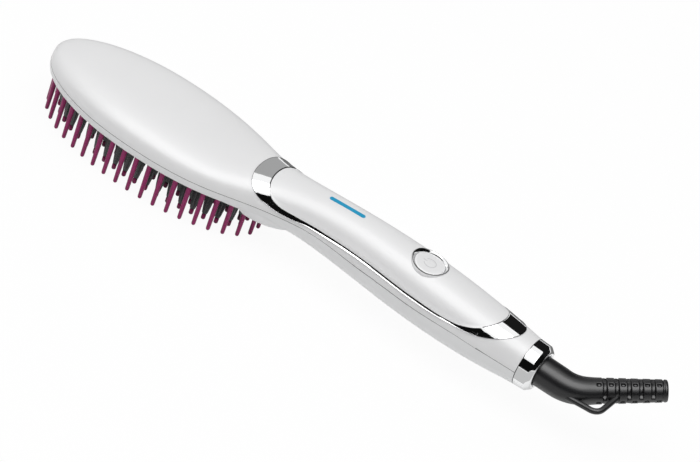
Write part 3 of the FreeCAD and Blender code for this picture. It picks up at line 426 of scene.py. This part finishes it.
for step in range(STRIP_STEPS + 1):
    share = step / STRIP_STEPS
    x = lip_front + (lip_rear - lip_front) * share
    drop = LIP_DROP * sagging(x, *LIP_SAG)
    low, high = on_line(strip_low, x), on_line(strip_high, x)
    up = (high - low).normalized()
    out = Vector((0, -up.z, up.y)).normalized()
    skirt = skirt_line(flank, high, up, out, drop)
    apron_rows.append(skirt_row(skirt, out))
    low, high = flank.find_nearest(low - up * drop)[0], skirt[-1]
    width = min((high - low).length, LIP_WIDTH)
    top = low + (high - low).normalized() * width + out * LIP_LIFT
    width += WEDGE_WIDTH * sagging(x, *WEDGE)
    grown = max(0.0, min(1.0, LEDGE_GROWTH * (share - LEDGE_FRONT), LEDGE_GROWTH * (LEDGE_REAR - share)))
    tilt = LIP_TILT * min(1.0, LIP_GROWTH * share)
    edge = top - up * (width - LEDGE_LAP * grown) + out * tilt * width
    ledge = LEDGE_LEAST + LEDGE_WIDTH * grown
    brim = edge - up * ledge + out * LEDGE_TILT * ledge
    under_brim = brim - up * BRIM_THICK - out * BRIM_IN
    root = flank.find_nearest(brim)[0] - out * LIP_ROOT
    lip_rows.append([top, edge, brim, under_brim, root])
finished(side_strip(lip_rows), "trim_lip", "housing", chrome, sharp=18)
finished(side_strip(apron_rows), "panel_apron", "housing", pearl, sharp=40)


TRIM_GAP = 0.18 * MM
END_LAP = 2 * MM


def end_shade_threads(name, line, thickness):
    """Threads of painted gap shade around the two ends of a closed line, left out along the sides where the
    skirt laps over it.
    """
    shade_thread(name + "_front", [point for point in line if point.x < lip_front + END_LAP], thickness)
    shade_thread(name + "_rear", [point for point in reversed(line) if point.x > lip_rear - END_LAP], thickness)


# Painted shade in the fine gap under the ends of the chrome ring: threads of black rubber.
end_shade_threads("trim_gap_shade", strip_low, TRIM_GAP)

# Dark line around the ends of the panel, where it drops into the chrome ring: the shade in the fine gap of
# the fit, painted as a thread of black rubber. Along the sides the panel's skirt covers it.
PANEL_GAP = 0.22 * MM


def is_panel_wall(normal):
    """Whether a face belongs to the cut wall around the panel."""
    return abs(normal.y) < 0.2 and (normal.z < -0.3 or abs(normal.x) > 0.3)


panel_rim = edge_line("top_panel", is_panel_wall)
end_shade_threads("panel_gap_shade", panel_rim, PANEL_GAP)

# Light bar in the panel: a frosted light pipe with a domed top that glows blue from the lamp on the board
# below. It is moulded in clear plastic and clipped into a slot.
glow, glow_shader = moulded_material("blue_light_pipe", (0.002, 0.145, 0.25), 0.3)
glow_shader.inputs["Emission Color"].default_value = (0.001, 0.22, 0.39, 1)
glow_shader.inputs["Emission Strength"].default_value = 0.65
paint(glow, "status_led")


FROM_ABOVE = 0.2


def heights(name):
    """Gives the height of a carried-over node's top over a point of the floor plan."""
    skin = skin_of(name)
    return lambda x, y: skin.ray_cast(Vector((x, y, FROM_ABOVE)), Vector((0, 0, -1)))[0].z


BAR_HALF = 1.18 * MM
BAR_END = 1.0 * MM
BAR_DEPTH = 1.2 * MM
BAR_DOME = ((0.25 * MM, 0.14 * MM), (0.35 * MM, 0.05 * MM))
LAMP_END, LAMP_SIDE = 1.2 * MM, 0.9 * MM
lamp_low, lamp_high = [Vector(corner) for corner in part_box("led_window")]
lamp_middle = (lamp_low + lamp_high) / 2
lamp_half = (lamp_high.x - lamp_low.x) / 2
lamp_top = heights("led_window")
light_bar = bmesh.new()
bmesh.ops.create_circle(light_bar, segments=28, radius=BAR_HALF, cap_ends=True)
for vert in light_bar.verts:
    vert.co.x += math.copysign(lamp_half - BAR_END, vert.co.x)
bar_top = light_bar.faces[:]
for margin, lift in BAR_DOME:
    bmesh.ops.inset_region(light_bar, faces=bar_top, thickness=margin, depth=lift)
bar_rim = [edge for edge in light_bar.edges if edge.is_boundary]
bar_side = bmesh.ops.extrude_edge_only(light_bar, edges=bar_rim)["geom"]
bar_foot = [item for item in bar_side if isinstance(item, bmesh.types.BMVert)]
bmesh.ops.translate(light_bar, vec=(0, 0, -BAR_DEPTH), verts=bar_foot)
bmesh.ops.holes_fill(light_bar, edges=light_bar.edges, sides=0)
bmesh.ops.recalc_face_normals(light_bar, faces=light_bar.faces)
for vert in light_bar.verts:
    over_x = max(-lamp_half + LAMP_END, min(lamp_half - LAMP_END, vert.co.x))
    over_y = max(-LAMP_SIDE, min(LAMP_SIDE, vert.co.y))
    vert.co.z += lamp_top(lamp_middle.x + over_x, over_y)
    vert.co.x += lamp_middle.x
finished(light_bar, "light_bar", "housing", glow, "led_window", sharp=60)

# Bezel around the button: a plated ring that follows the panel's curve, with a round crown and a bevelled
# throat in which the cap sits a little sunk. It is pressed into a raised seat of the panel; a thin ring of
# black rubber between them paints the shade in the gap.
BOSS = 8.5 * MM
BOSS_CURVE = 0.5
BUTTON_SQUEEZE = 0.955
BUTTON_STEPS = 72
ring_low, ring_high = [Vector(corner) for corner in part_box("button_ring")]
button_middle = (ring_low + ring_high) / 2
ring_top = heights("button_ring")
front_top, back_top = [ring_top(button_middle.x + side * BOSS, button_middle.y) for side in (-1, 1)]
boss_middle = (front_top + back_top) / 2
boss_slope = (back_top - front_top) / 2
boss_drop = BOSS_CURVE * (boss_middle - ring_top(button_middle.x, button_middle.y - BOSS))


def turned(outline, steps):
    """A round shape, spun about Z from an outline of radius and height in millimetres."""
    mesh = bmesh.new()
    verts = [mesh.verts.new((radius * MM, 0, height * MM)) for radius, height in outline]
    edges = [mesh.edges.new(pair) for pair in zip(verts, verts[1:])]
    bmesh.ops.spin(mesh, geom=verts + edges, cent=(0, 0, 0), axis=(0, 0, 1), angle=math.tau, steps=steps,
                   use_merge=True)
    bmesh.ops.remove_doubles(mesh, verts=mesh.verts, dist=1e-6)
    bmesh.ops.recalc_face_normals(mesh, faces=mesh.faces)
    return mesh


def on_boss(mesh, squeeze=BUTTON_SQUEEZE):
    """Set a turned shape on the button's place, squeezed across, with half of the panel's curve."""
    bmesh.ops.scale(mesh, vec=(1, squeeze, 1), verts=mesh.verts)
    for vert in mesh.verts:
        along, aside = vert.co.x / BOSS, vert.co.y / BOSS
        vert.co.z += boss_middle + boss_slope * along - boss_drop * aside ** 2
        vert.co.x += button_middle.x
        vert.co.y += button_middle.y
    return mesh


SEAT_FOOT = -3.3 * MM
SEAT_INNER = 9.18 * MM
SEAT_SQUEEZE = 0.96
seat_outline = [(9.06, -3.4), (9.22, -3.4), (9.22, -0.9), (9.2, -0.45), (9.16, -0.2), (9.11, -0.12),
                (9.06, -0.2), (9.06, -3.4)]
seat = turned(seat_outline, BUTTON_STEPS)
for vert in seat.verts:
    above_foot = vert.co.z > SEAT_FOOT
    on_inner_side = vert.co.xy.length < SEAT_INNER
    if above_foot and on_inner_side:
        vert.co.y *= SEAT_SQUEEZE
finished(on_boss(seat, squeeze=1.0), "button_seat", "housing", pearl, sharp=60)
# Painted shade in the gap between bezel and seat: a thin ring of black rubber.
gap_shade_outline = [(8.7, -1.5), (9.08, -1.5), (9.08, -0.2), (8.98, -0.12), (8.8, -0.12), (8.7, -0.2),
                (8.7, -1.5)]
gap_shade_ring = turned(gap_shade_outline, BUTTON_STEPS)
finished(on_boss(gap_shade_ring), "button_gap_shade", "housing", rubber_and_gap_shade, sharp=60)
bezel_outline = [(8.84, -3.4), (8.84, -0.2), (8.82, -0.08), (8.75, 0.0), (8.62, -0.02), (8.5, -0.1),
                 (7.9, -1.1), (7.72, -1.35), (7.68, -1.8), (7.68, -3.4), (8.84, -3.4)]
bezel = turned(bezel_outline, BUTTON_STEPS)
finished(on_boss(bezel), "button_bezel", "housing", chrome, "button_ring", sharp=40)

# Push cap: the same pearl moulding as the panel, slightly dished for the thumb, with the usual power mark
# printed in grey. It slides down on the switch.
cap_outline = [(0, -2.6), (7.5, -2.6), (7.5, -1.45), (7.42, -1.22), (7.2, -1.1), (6.8, -1.06), (6.2, -1.1),
               (5.4, -1.2), (3.0, -1.28), (0, -1.3)]
cap = turned(cap_outline, BUTTON_STEPS)
finished(on_boss(cap), "button_cap", "button", pearl, "power_button", sharp=50)
grey_print = moulded_material("grey_print", (0.6, 0.6, 0.61), 0.5)[0]
MARK_SWEEP = math.radians(296)
MARK_STEPS = 40
STROKE_SIZE = (2.2 * MM, 0.45 * MM, 0.13 * MM)
STROKE_PLACE = (-2.7 * MM, 0, -1.295 * MM)
mark_section = ((2.75, -1.35), (2.75, -1.23), (3.2, -1.23), (3.2, -1.35))
mark = bmesh.new()
corners = [mark.verts.new((radius * MM, 0, height * MM)) for radius, height in mark_section]
outline = [mark.edges.new((corners[i - 1], corners[i])) for i in range(len(corners))]
bmesh.ops.spin(mark, geom=corners + outline, cent=(0, 0, 0), axis=(0, 0, 1), angle=MARK_SWEEP,
               steps=MARK_STEPS)
bmesh.ops.rotate(mark, matrix=Matrix.Rotation(-MARK_SWEEP / 2, 3, "Z"), verts=mark.verts)
bmesh.ops.holes_fill(mark, edges=mark.edges, sides=0)
stroke = bmesh.ops.create_cube(mark, size=1.0)["verts"]
bmesh.ops.scale(mark, vec=STROKE_SIZE, verts=stroke)
bmesh.ops.translate(mark, vec=STROKE_PLACE, verts=stroke)
bmesh.ops.recalc_face_normals(mark, faces=mark.faces)
finished(on_boss(mark), "power_mark", "button", grey_print)

# Guard pins around the head: glossy purple nylon that stays cool, moulded with a small foot and a round
# tip, and held by their feet in a frame of a darker shade that is sprung into the rim.
nylon, nylon_shader = moulded_material("purple_nylon", (0.30, 0.018, 0.122), 0.28, drift=0.3, grain=1200.0)
nylon_shader.inputs["Specular IOR Level"].default_value = 0.3
dark_nylon = moulded_material("dark_nylon", (0.10, 0.03, 0.07), 0.45)[0]
paint(dark_nylon, "pin_frame")


def solids_in(name):
    """Corner points of each separate solid that a carried-over node holds."""
    copy = bmesh.new()
    copy.from_mesh(nodes[name].data)
    bmesh.ops.remove_doubles(copy, verts=copy.verts, dist=1e-6)
    found = []
    for seed in copy.verts:
        if seed.tag:
            continue
        seed.tag = True
        waiting, points = [seed], []
        while waiting:
            vert = waiting.pop()
            points.append(vert.co.copy())
            for edge in vert.link_edges:
                other = edge.other_vert(vert)
                if not other.tag:
                    other.tag = True
                    waiting.append(other)
        found.append(points)
    copy.free()
    return found


def spread(points):
    """Lowest and highest corner of a set of points."""
    low = Vector([min(point[i] for point in points) for i in range(3)])
    high = Vector([max(point[i] for point in points) for i in range(3)])
    return low, high


def planted(shape, places):
    """Copies of one shape, set at each of the places."""
    pattern = bpy.data.meshes.new("pattern")
    shape.to_mesh(pattern)
    shape.free()
    field = bmesh.new()
    for place in places:
        first = len(field.verts)
        field.from_mesh(pattern)
        field.verts.ensure_lookup_table()
        bmesh.ops.transform(field, matrix=place, verts=field.verts[first:])
    bpy.data.meshes.remove(pattern)
    return field


def low_ends(name):
    """Places at the lower ends of a node's solids."""
    places = []
    for points in solids_in(name):
        low, high = spread(points)
        middle = (low + high) / 2
        places.append(Matrix.Translation((middle.x, middle.y, low.z)))
    return places


PIN_SIDES = 14
pin_outline = [(0, 24.0), (1.7, 24.0), (1.75, 21.9), (1.35, 21.2), (1.27, 20.0), (0.98, 1.0), (0.90, 0.5),
               (0.66, 0.17), (0.34, 0.03), (0, 0)]
pins = planted(turned(pin_outline, PIN_SIDES), low_ends("guard_pins"))
finished(pins, "guard_pin_ring", "housing", nylon, "guard_pins")

# Heated teeth on their plate: cast metal with a dark ceramic coat, fluted so that the hair runs along
# more surface. Each stands on the plate with its wide side along the row.
ceramic_coat, ceramic_shader = moulded_material("ceramic_coat", (0.030, 0.035, 0.037), 0.27, drift=0.4)
ceramic_shader.inputs["Specular IOR Level"].default_value = 0.8
paint(ceramic_coat, "heating_plate")
ROOT_BAND = 0.5 * MM
tooth_places = []
for points in solids_in("heated_teeth"):
    low, high = spread(points)
    middle = (low + high) / 2
    root = [point - middle for point in points if point.z > high.z - ROOT_BAND]
    lean_xy = sum(point.x * point.y for point in root)
    lean = sum(point.x ** 2 - point.y ** 2 for point in root)
    turn = math.atan2(2 * lean_xy, lean) / 2
    tooth_places.append(Matrix.Translation((middle.x, middle.y, high.z)) @ Matrix.Rotation(turn, 4, "Z"))
FLUTE_DEPTH = 0.84
TOOTH_HALVES = (2.5 * MM, 1.7 * MM, 1)
TOOTH_LEVELS = ((8.5, 0.93), (5.5, 0.80), (4.0, 0.72), (0.4, 0.7))
tooth = bmesh.new()
ring = bmesh.ops.create_circle(tooth, segments=16, radius=1.0)["verts"]
for vert in ring[1::2]:
    vert.co *= FLUTE_DEPTH
bmesh.ops.scale(tooth, vec=TOOTH_HALVES, verts=ring)
rim_edges = tooth.edges[:]
for drop, shrink in TOOTH_LEVELS:
    pulled = bmesh.ops.extrude_edge_only(tooth, edges=rim_edges)["geom"]
    level_verts = [item for item in pulled if isinstance(item, bmesh.types.BMVert)]
    rim_edges = [item for item in pulled if isinstance(item, bmesh.types.BMEdge)]
    bmesh.ops.scale(tooth, vec=(shrink, shrink, 1), verts=level_verts)
    bmesh.ops.translate(tooth, vec=(0, 0, -drop * MM), verts=level_verts)
bmesh.ops.holes_fill(tooth, edges=tooth.edges, sides=0)
bmesh.ops.recalc_face_normals(tooth, faces=tooth.faces)
teeth = planted(tooth, tooth_places)
finished(teeth, "fluted_teeth", "housing", ceramic_coat, "heated_teeth", sharp=25)

# Tips on the teeth: small caps of the same purple nylon as the pins, pressed on the ends of the teeth, so
# that the scalp meets no hot metal.
TIP_SIDES = 10
tip_outline = [(0, 3.15), (0.95, 3.15), (1.1, 2.9), (1.1, 0.8), (0.95, 0.35), (0.55, 0.06), (0, 0)]
tips = planted(turned(tip_outline, TIP_SIDES), low_ends("tooth_tips"))
finished(tips, "nylon_tips", "housing", nylon, "tooth_tips")

# Parts sealed in the head and handle: heaters with their insulation, clamp and sensors, the board and its
# parts, the wiring and the swivel's bearing. Each keeps its solid and gets the finish of its material,
# given as colour, roughness and metal.
INNER_FINISHES = {
    "fired_ceramic": ((0.72, 0.70, 0.66), 0.7, 0.0, ["ptc_heaters"]),
    "mica_sheet": ((0.58, 0.50, 0.38), 0.5, 0.0, ["mica_sheet"]),
    "zinc_plate": ((0.55, 0.55, 0.56), 0.35, 1.0,
                   ["clamp_plate", "clamp_screws", "board_screws", "case_screw", "retaining_clip"]),
    "board_mask": ((0.03, 0.18, 0.07), 0.4, 0.0, ["control_board"]),
    "black_moulding": ((0.03, 0.03, 0.033), 0.5, 0.0,
                       ["switch_body", "switch_plunger", "capacitor", "triac", "contact_block",
                        "thermistor", "thermal_fuse", "swivel_bush", "swivel_spindle"]),
    "silicone_sleeve": ((0.62, 0.62, 0.60), 0.55, 0.0, ["heater_leads", "supply_leads"]),
    "contact_brass": ((0.70, 0.50, 0.20), 0.3, 1.0, ["slip_rings", "contact_springs"]),
}
for finish, (colour, roughness, metallic, names) in INNER_FINISHES.items():
    inner, inner_shader = moulded_material(finish, colour, roughness, drift=0.1)
    inner_shader.inputs["Metallic"].default_value = metallic
    paint(inner, *names)

# End ring at the tail: a plated ring with a rounded lip, pressed over the shells' ends to hold them
# together. A thin ring of black rubber in front of it paints the shade in the joint with the shells.
swivel = next(joint for joint in frame["record"]["behaviour"]["joints"] if joint["name"] == "cord_swivel")
tail = Vector(swivel["pos_m"])
RING_STEPS = 96
collar_outline = [(8.0, 0.12), (11.9, 0.12), (12.0, 0.22), (11.99, 0.5), (11.8, 5.2), (11.77, 5.5),
                  (11.64, 5.78), (11.4, 6.1), (10.25, 7.5), (9.95, 7.78), (9.55, 7.95), (9.2, 8.0),
                  (8.8, 8.0), (8.4, 7.9), (8.12, 7.6), (8.0, 7.2), (8.0, 0.12)]
# Painted shade in the joint with the shells: a thin ring of black rubber.
collar_gap_shade = [(11.2, -0.12), (12.03, -0.12), (12.03, 0.14), (11.2, 0.14), (11.2, -0.12)]
onto_tail = Matrix.Translation(tail) @ Matrix.Rotation(math.radians(90), 4, "Y")
for name, outline, slot, material, replaced in (
        ("end_ring", collar_outline, "plating", chrome, "end_collar"),
        ("ring_gap_shade", collar_gap_shade, "boot_rubber", rubber_and_gap_shade, None)):
    round_piece = turned(outline, RING_STEPS)
    bmesh.ops.transform(round_piece, matrix=onto_tail, verts=round_piece.verts)
    finished(round_piece, name, "housing", material, replaced, sharp=28)

# Boot at the cord end: one soft black rubber moulding that turns with the swivel. It bends away from the
# handle, and its far half is grooved on both sides and dimpled, so that it flexes with the cord.
cord_bore = frame["record"]["mounts"][0]
cord_exit, run = Vector(cord_bore["pos_m"]), Vector(cord_bore["axis"]).normalized()
handle = Vector((1, 0, 0))
corner = cord_exit - run * (cord_exit.y / run.y)
reach = (cord_exit - corner).length
bend_angle = handle.angle(run)
BEND_RADIUS = 20 * MM
bend_tangent = BEND_RADIUS * math.tan(bend_angle / 2)
bend_axis = handle.cross(run).normalized()
bend_centre = corner - handle * bend_tangent + bend_axis.cross(handle) * BEND_RADIUS
boot_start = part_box("strain_relief_boot")[0][0]
BOOT_SIDES = 36
WEB_HALF = 1.5 * MM
SLEEVE_RADIUS, SLEEVE_END_RADIUS, NECK_RADIUS, SHOULDER_RADIUS = 7.5, 7.45, 6.5, 6.3
SLEEVE_STEP, BEND_STEP = 6.0, 4.0
BEND_PARTS = 8
RIB_START, RIB_RADIUS, RIB_TAPER = 9.0, 6.25, 1.0 / 34.4
GROOVES = (14.5, 20.0, 25.5, 31.0, 36.5)
GROOVE_SIDE = ((1.32, None), (1.14, None), (1.02, 0.95), (0.97, 0.76), (0.8, 0.7))
PITS = (11.75, 17.25, 22.75, 28.25, 33.75, 39.25)
PIT_STEP = 1.25
PIT_REACH = 1.05 * MM
PIT_RIM, PIT_WALL, PIT_DEPTH = 0.12 * MM, 0.22 * MM, 1.0 * MM
BOOT_END = ((2.75, 5.33), (2.55, 5.28), (2.45, 4.85), (1.75, 4.85), (1.65, 5.2), (1.45, 5.25), (1.0, 5.25),
            (0.45, 5.1), (0.1, 4.75), (0.0, 4.2))
CORD_BORE = ((0.0, 3.4), (0.15, 3.08), (0.6, 3.0), (20.0, 3.0), (32.0, 3.0))


def boot_ring(mesh, s, radius, web_radius=None):
    """One ring of the boot, s millimetres along its axis from the corner of its bend."""
    s = s * MM
    if s < -bend_tangent:
        turned_by, place = 0.0, corner + handle * s
    elif s > bend_tangent:
        turned_by, place = bend_angle, corner + run * s
    else:
        turned_by = bend_angle * (s + bend_tangent) / (2 * bend_tangent)
        spoke = -bend_axis.cross(handle) * BEND_RADIUS
        place = bend_centre + Matrix.Rotation(turned_by, 3, bend_axis) @ spoke
    ahead = Matrix.Rotation(turned_by, 3, bend_axis) @ handle
    side = bend_axis.cross(ahead)
    axes = Matrix((side, bend_axis, ahead)).transposed().to_4x4()
    place_matrix = Matrix.Translation(place) @ axes
    circle = bmesh.ops.create_circle(mesh, segments=BOOT_SIDES, radius=radius * MM, matrix=place_matrix)
    verts = circle["verts"]
    if web_radius:
        for vert in verts:
            arm = vert.co - place
            if abs(arm.dot(bend_axis)) < WEB_HALF:
                vert.co = place + arm * (web_radius / radius)
    return verts


def rib_radius(s):
    """Outer radius of the ribbed half, s millimetres along its axis."""
    return RIB_RADIUS - (s - RIB_START) * RIB_TAPER


boot = bmesh.new()
corner_gap = (corner.x - boot_start) / MM
tangent = bend_tangent / MM
end = reach / MM
sleeve_places = (-corner_gap, -corner_gap + SLEEVE_STEP, -tangent - BEND_STEP)
stations = [(s, SLEEVE_RADIUS) for s in sleeve_places]
for i in range(BEND_PARTS + 1):
    part = i / BEND_PARTS
    stations.append((-tangent + 2 * tangent * part,
                     SLEEVE_END_RADIUS + (NECK_RADIUS - SLEEVE_END_RADIUS) * part))
stations.append((RIB_START, SHOULDER_RADIUS))
marks = [(pit + step, None) for pit in PITS for step in (-PIT_STEP, 0.0, PIT_STEP)]
for groove in GROOVES:
    marks += [(groove + side * step, depth) for side in (-1, 1) for step, depth in GROOVE_SIDE]
rings = [boot_ring(boot, s, radius) for s, radius in stations]
for s, depth in sorted(marks):
    if depth is None:
        rings.append(boot_ring(boot, s, rib_radius(s)))
    else:
        rings.append(boot_ring(boot, s, rib_radius(s) * depth, rib_radius(s)))
rings += [boot_ring(boot, end - back_step, radius) for back_step, radius in BOOT_END + CORD_BORE]
bridged(boot, rings)
side_after = bend_axis.cross(run)
for pit in PITS:
    for arm in (side_after, -side_after, bend_axis, -bend_axis):
        spot = corner + run * pit * MM + arm * rib_radius(pit) * MM
        dimple = [face for face in boot.faces if (face.calc_center_median() - spot).length < PIT_REACH]
        bmesh.ops.inset_region(boot, faces=dimple, thickness=PIT_RIM, use_even_offset=True)
        bmesh.ops.inset_region(boot, faces=dimple, thickness=PIT_WALL, depth=-PIT_DEPTH,
                               use_even_offset=True)
ribbed_boot = finished(boot, "ribbed_boot", "cord_end", rubber_and_gap_shade, "strain_relief_boot",
                       sharp=180)
rounding = ribbed_boot.modifiers.new("rounding", "SUBSURF")
rounding.levels = 1
rounding.render_levels = 1

# Hanging loop on the boot's side, moulded with it: a round strap that leaves the boot with a thick foot,
# runs out slanting to its bow and comes back.
LOOP_SIDE = math.radians(73)
STRAP_RADIUS = 1.2 * MM
LOOP_POINTS = ((-2.8, 3.6, 1.35), (-0.6, 5.4, 1.25), (5.4, 10.4, 1.2), (8.2, 12.9, 1.2), (11.6, 13.2, 1.2),
               (14.4, 10.4, 1.2), (18.9, 5.6, 1.2), (20.6, 3.6, 1.35))
loop_out = Matrix.Rotation(LOOP_SIDE, 3, run) @ bend_axis
if loop_out.dot(handle) < 0:
    loop_out = Matrix.Rotation(-LOOP_SIDE, 3, run) @ bend_axis
loop_line = round_line("loop_line", STRAP_RADIUS, 5)
loop_line.resolution_u = 12
strap = loop_line.splines.new("NURBS")
strap.points.add(len(LOOP_POINTS) - 1)
for point, (s, out, thick) in zip(strap.points, LOOP_POINTS):
    point.co = (*(corner + run * s * MM + loop_out * out * MM), 1)
    point.radius = thick
strap.order_u = 3
strap.use_endpoint_u = True
finished(tube_of(loop_line), "rubber_loop", "cord_end", rubber_and_gap_shade, "hanging_loop", sharp=180)

# Stage: a pale floor that the pins stand on, cards and sheets out of the camera's sight that put dark and
# grey tones into the reflections, one softbox above the near side and an even white sky. The floor shows
# white and keeps the brush's shadow.
floor_mesh = bmesh.new()
bmesh.ops.create_grid(floor_mesh, x_segments=1, y_segments=1, size=10)
floor_data = bpy.data.meshes.new("floor")
floor_mesh.to_mesh(floor_data)
floor_mesh.free()
floor = bpy.data.objects.new("floor", floor_data)
bpy.context.scene.collection.objects.link(floor)
pale, pale_tree, pale_shader = new_material("pale_floor")
pale_shader.inputs["Base Color"].default_value = (0.9, 0.9, 0.9, 1)
pale_shader.inputs["Roughness"].default_value = 0.9
pale_shader.inputs["Specular IOR Level"].default_value = 0.0


def seen_rays(tree, direct, by_metal):
    """A share for rays that show the background, straight from the camera or by way of metal or glass."""
    path = tree.nodes.new("ShaderNodeLightPath")
    mirrored = tree.nodes.new("ShaderNodeMath")
    mirrored.operation = "MAXIMUM"
    tree.links.new(path.outputs["Is Glossy Ray"], mirrored.inputs[0])
    tree.links.new(path.outputs["Is Transmission Ray"], mirrored.inputs[1])
    weaker = tree.nodes.new("ShaderNodeMath")
    weaker.operation = "MULTIPLY"
    weaker.inputs[1].default_value = by_metal
    tree.links.new(mirrored.outputs[0], weaker.inputs[0])
    both = tree.nodes.new("ShaderNodeMath")
    both.operation = "MULTIPLY_ADD"
    both.inputs[1].default_value = direct
    tree.links.new(path.outputs["Is Camera Ray"], both.inputs[0])
    tree.links.new(weaker.outputs[0], both.inputs[2])
    return both.outputs[0]


white = pale_tree.nodes.new("ShaderNodeEmission")
lit = pale_tree.nodes.new("ShaderNodeMixShader")
pale_tree.links.new(seen_rays(pale_tree, 0.94, 0.35), lit.inputs["Fac"])
pale_tree.links.new(pale_shader.outputs[0], lit.inputs[1])
pale_tree.links.new(white.outputs[0], lit.inputs[2])
under = pale_tree.nodes.new("ShaderNodeNewGeometry")
clear = pale_tree.nodes.new("ShaderNodeBsdfTransparent")
one_sided = pale_tree.nodes.new("ShaderNodeMixShader")
pale_tree.links.new(under.outputs["Backfacing"], one_sided.inputs["Fac"])
pale_tree.links.new(lit.outputs[0], one_sided.inputs[1])
pale_tree.links.new(clear.outputs[0], one_sided.inputs[2])
pale_tree.links.new(one_sided.outputs[0], pale_tree.nodes["Material Output"].inputs["Surface"])
floor_data.materials.append(pale)


def card_paint(name, tone):
    """One flat grey tone that needs no light."""
    paint_material, _, shader = new_material(name)
    shader.inputs["Base Color"].default_value = (0, 0, 0, 1)
    shader.inputs["Roughness"].default_value = 1.0
    shader.inputs["Specular IOR Level"].default_value = 0.0
    shader.inputs["Emission Color"].default_value = (tone, tone, tone, 1)
    shader.inputs["Emission Strength"].default_value = 1.0
    return paint_material


def studio_card(name, tone, centre, size, turn, shades=False, tilt=90):
    """A card out of the picture: its middle, width and height, turn about Z and tilt from lying flat."""
    mesh = bmesh.new()
    bmesh.ops.create_grid(mesh, x_segments=1, y_segments=1, size=0.5)
    bmesh.ops.scale(mesh, vec=(size[0], size[1], 1.0), verts=mesh.verts)
    bmesh.ops.rotate(mesh, matrix=Matrix.Rotation(math.radians(tilt), 3, "X"), verts=mesh.verts)
    bmesh.ops.rotate(mesh, matrix=Matrix.Rotation(math.radians(turn), 3, "Z"), verts=mesh.verts)
    bmesh.ops.translate(mesh, vec=centre, verts=mesh.verts)
    data = bpy.data.meshes.new(name)
    mesh.to_mesh(data)
    mesh.free()
    data.materials.append(card_paint(name, tone))
    card = bpy.data.objects.new(name, data)
    bpy.context.scene.collection.objects.link(card)
    card.visible_camera = False
    card.visible_diffuse = shades
    card.visible_transmission = False
    card.visible_shadow = False


studio_card("near_card", 0.004, (0.0, -1.6, 0.775), (6.0, 1.45), 0, shades=True)
studio_card("far_card", 0.01, (1.29, 1.3, 1.36), (3.42, 2.48), 0)
studio_card("far_card_head", 0.38, (-1.92, 1.3, 1.36), (3.0, 2.48), 0)
studio_card("table_sheet", 0.55, (0.05, -0.3, 0.0004), (1.4, 0.56), 0, tilt=0)
studio_card("far_sheet", 0.18, (0.1, 0.5, 0.0004), (1.4, 0.9), 0, tilt=0)
studio_card("end_card", 0.004, (1.6, -0.1, 0.95), (1.8, 1.8), 90)

world = bpy.data.worlds.new("studio")
world.use_nodes = True
bpy.context.scene.world = world
sky = world.node_tree.nodes["Background"]
sky.inputs["Color"].default_value = (1, 1, 1, 1)
strength = world.node_tree.nodes.new("ShaderNodeMapRange")
strength.inputs["To Min"].default_value = 0.6
strength.inputs["To Max"].default_value = 1.0
world.node_tree.links.new(seen_rays(world.node_tree, 1.0, 1.0), strength.inputs["Value"])
world.node_tree.links.new(strength.outputs[0], sky.inputs["Strength"])

softbox = bpy.data.lights.new("softbox", "AREA")
softbox.shape = "RECTANGLE"
softbox.size = 1.8
softbox.size_y = 1.2
softbox.energy = 18
lamp = bpy.data.objects.new("softbox", softbox)
lamp.location = (-0.1, -0.5, 1.6)
lamp.rotation_euler = (math.radians(17), 0, 0)
bpy.context.scene.collection.objects.link(lamp)

# Camera: a long lens from above the near side of the brush, rolled so that the handle runs down the picture
# to the right. It stands on a line through a point of the handle's axis and looks a little past that point.
AZIMUTH, ELEVATION, ROLL = math.radians(20.85), math.radians(37.4), math.radians(20.53)
DISTANCE = 1.852
NOSE_TO_PIVOT = 0.140
LOOK_ACROSS, LOOK_DOWN = 0.0256, 0.0111
LENS = 206.2
back = Vector((math.sin(AZIMUTH) * math.cos(ELEVATION), -math.cos(AZIMUTH) * math.cos(ELEVATION),
               math.sin(ELEVATION)))
level = Vector((math.cos(AZIMUTH), math.sin(AZIMUTH), 0))
upright = back.cross(level)
across = level * math.cos(ROLL) + upright * math.sin(ROLL)
rise = upright * math.cos(ROLL) - level * math.sin(ROLL)
pivot = Vector((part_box("upper_shell")[0][0] + NOSE_TO_PIVOT, 0.0, tail.z))
eye = pivot + back * DISTANCE
sight = pivot + across * LOOK_ACROSS - rise * LOOK_DOWN
facing = (eye - sight).normalized()
across = (across - facing * across.dot(facing)).normalized()
axes = Matrix((across, facing.cross(across), facing)).transposed()
camera_data = bpy.data.cameras.new("camera")
camera_data.lens = LENS
camera = bpy.data.objects.new("camera", camera_data)
camera.matrix_world = Matrix.Translation(eye) @ axes.to_4x4()
bpy.context.scene.collection.objects.link(camera)
bpy.context.scene.camera = camera
bpy.context.scene.view_settings.view_transform = "Standard"
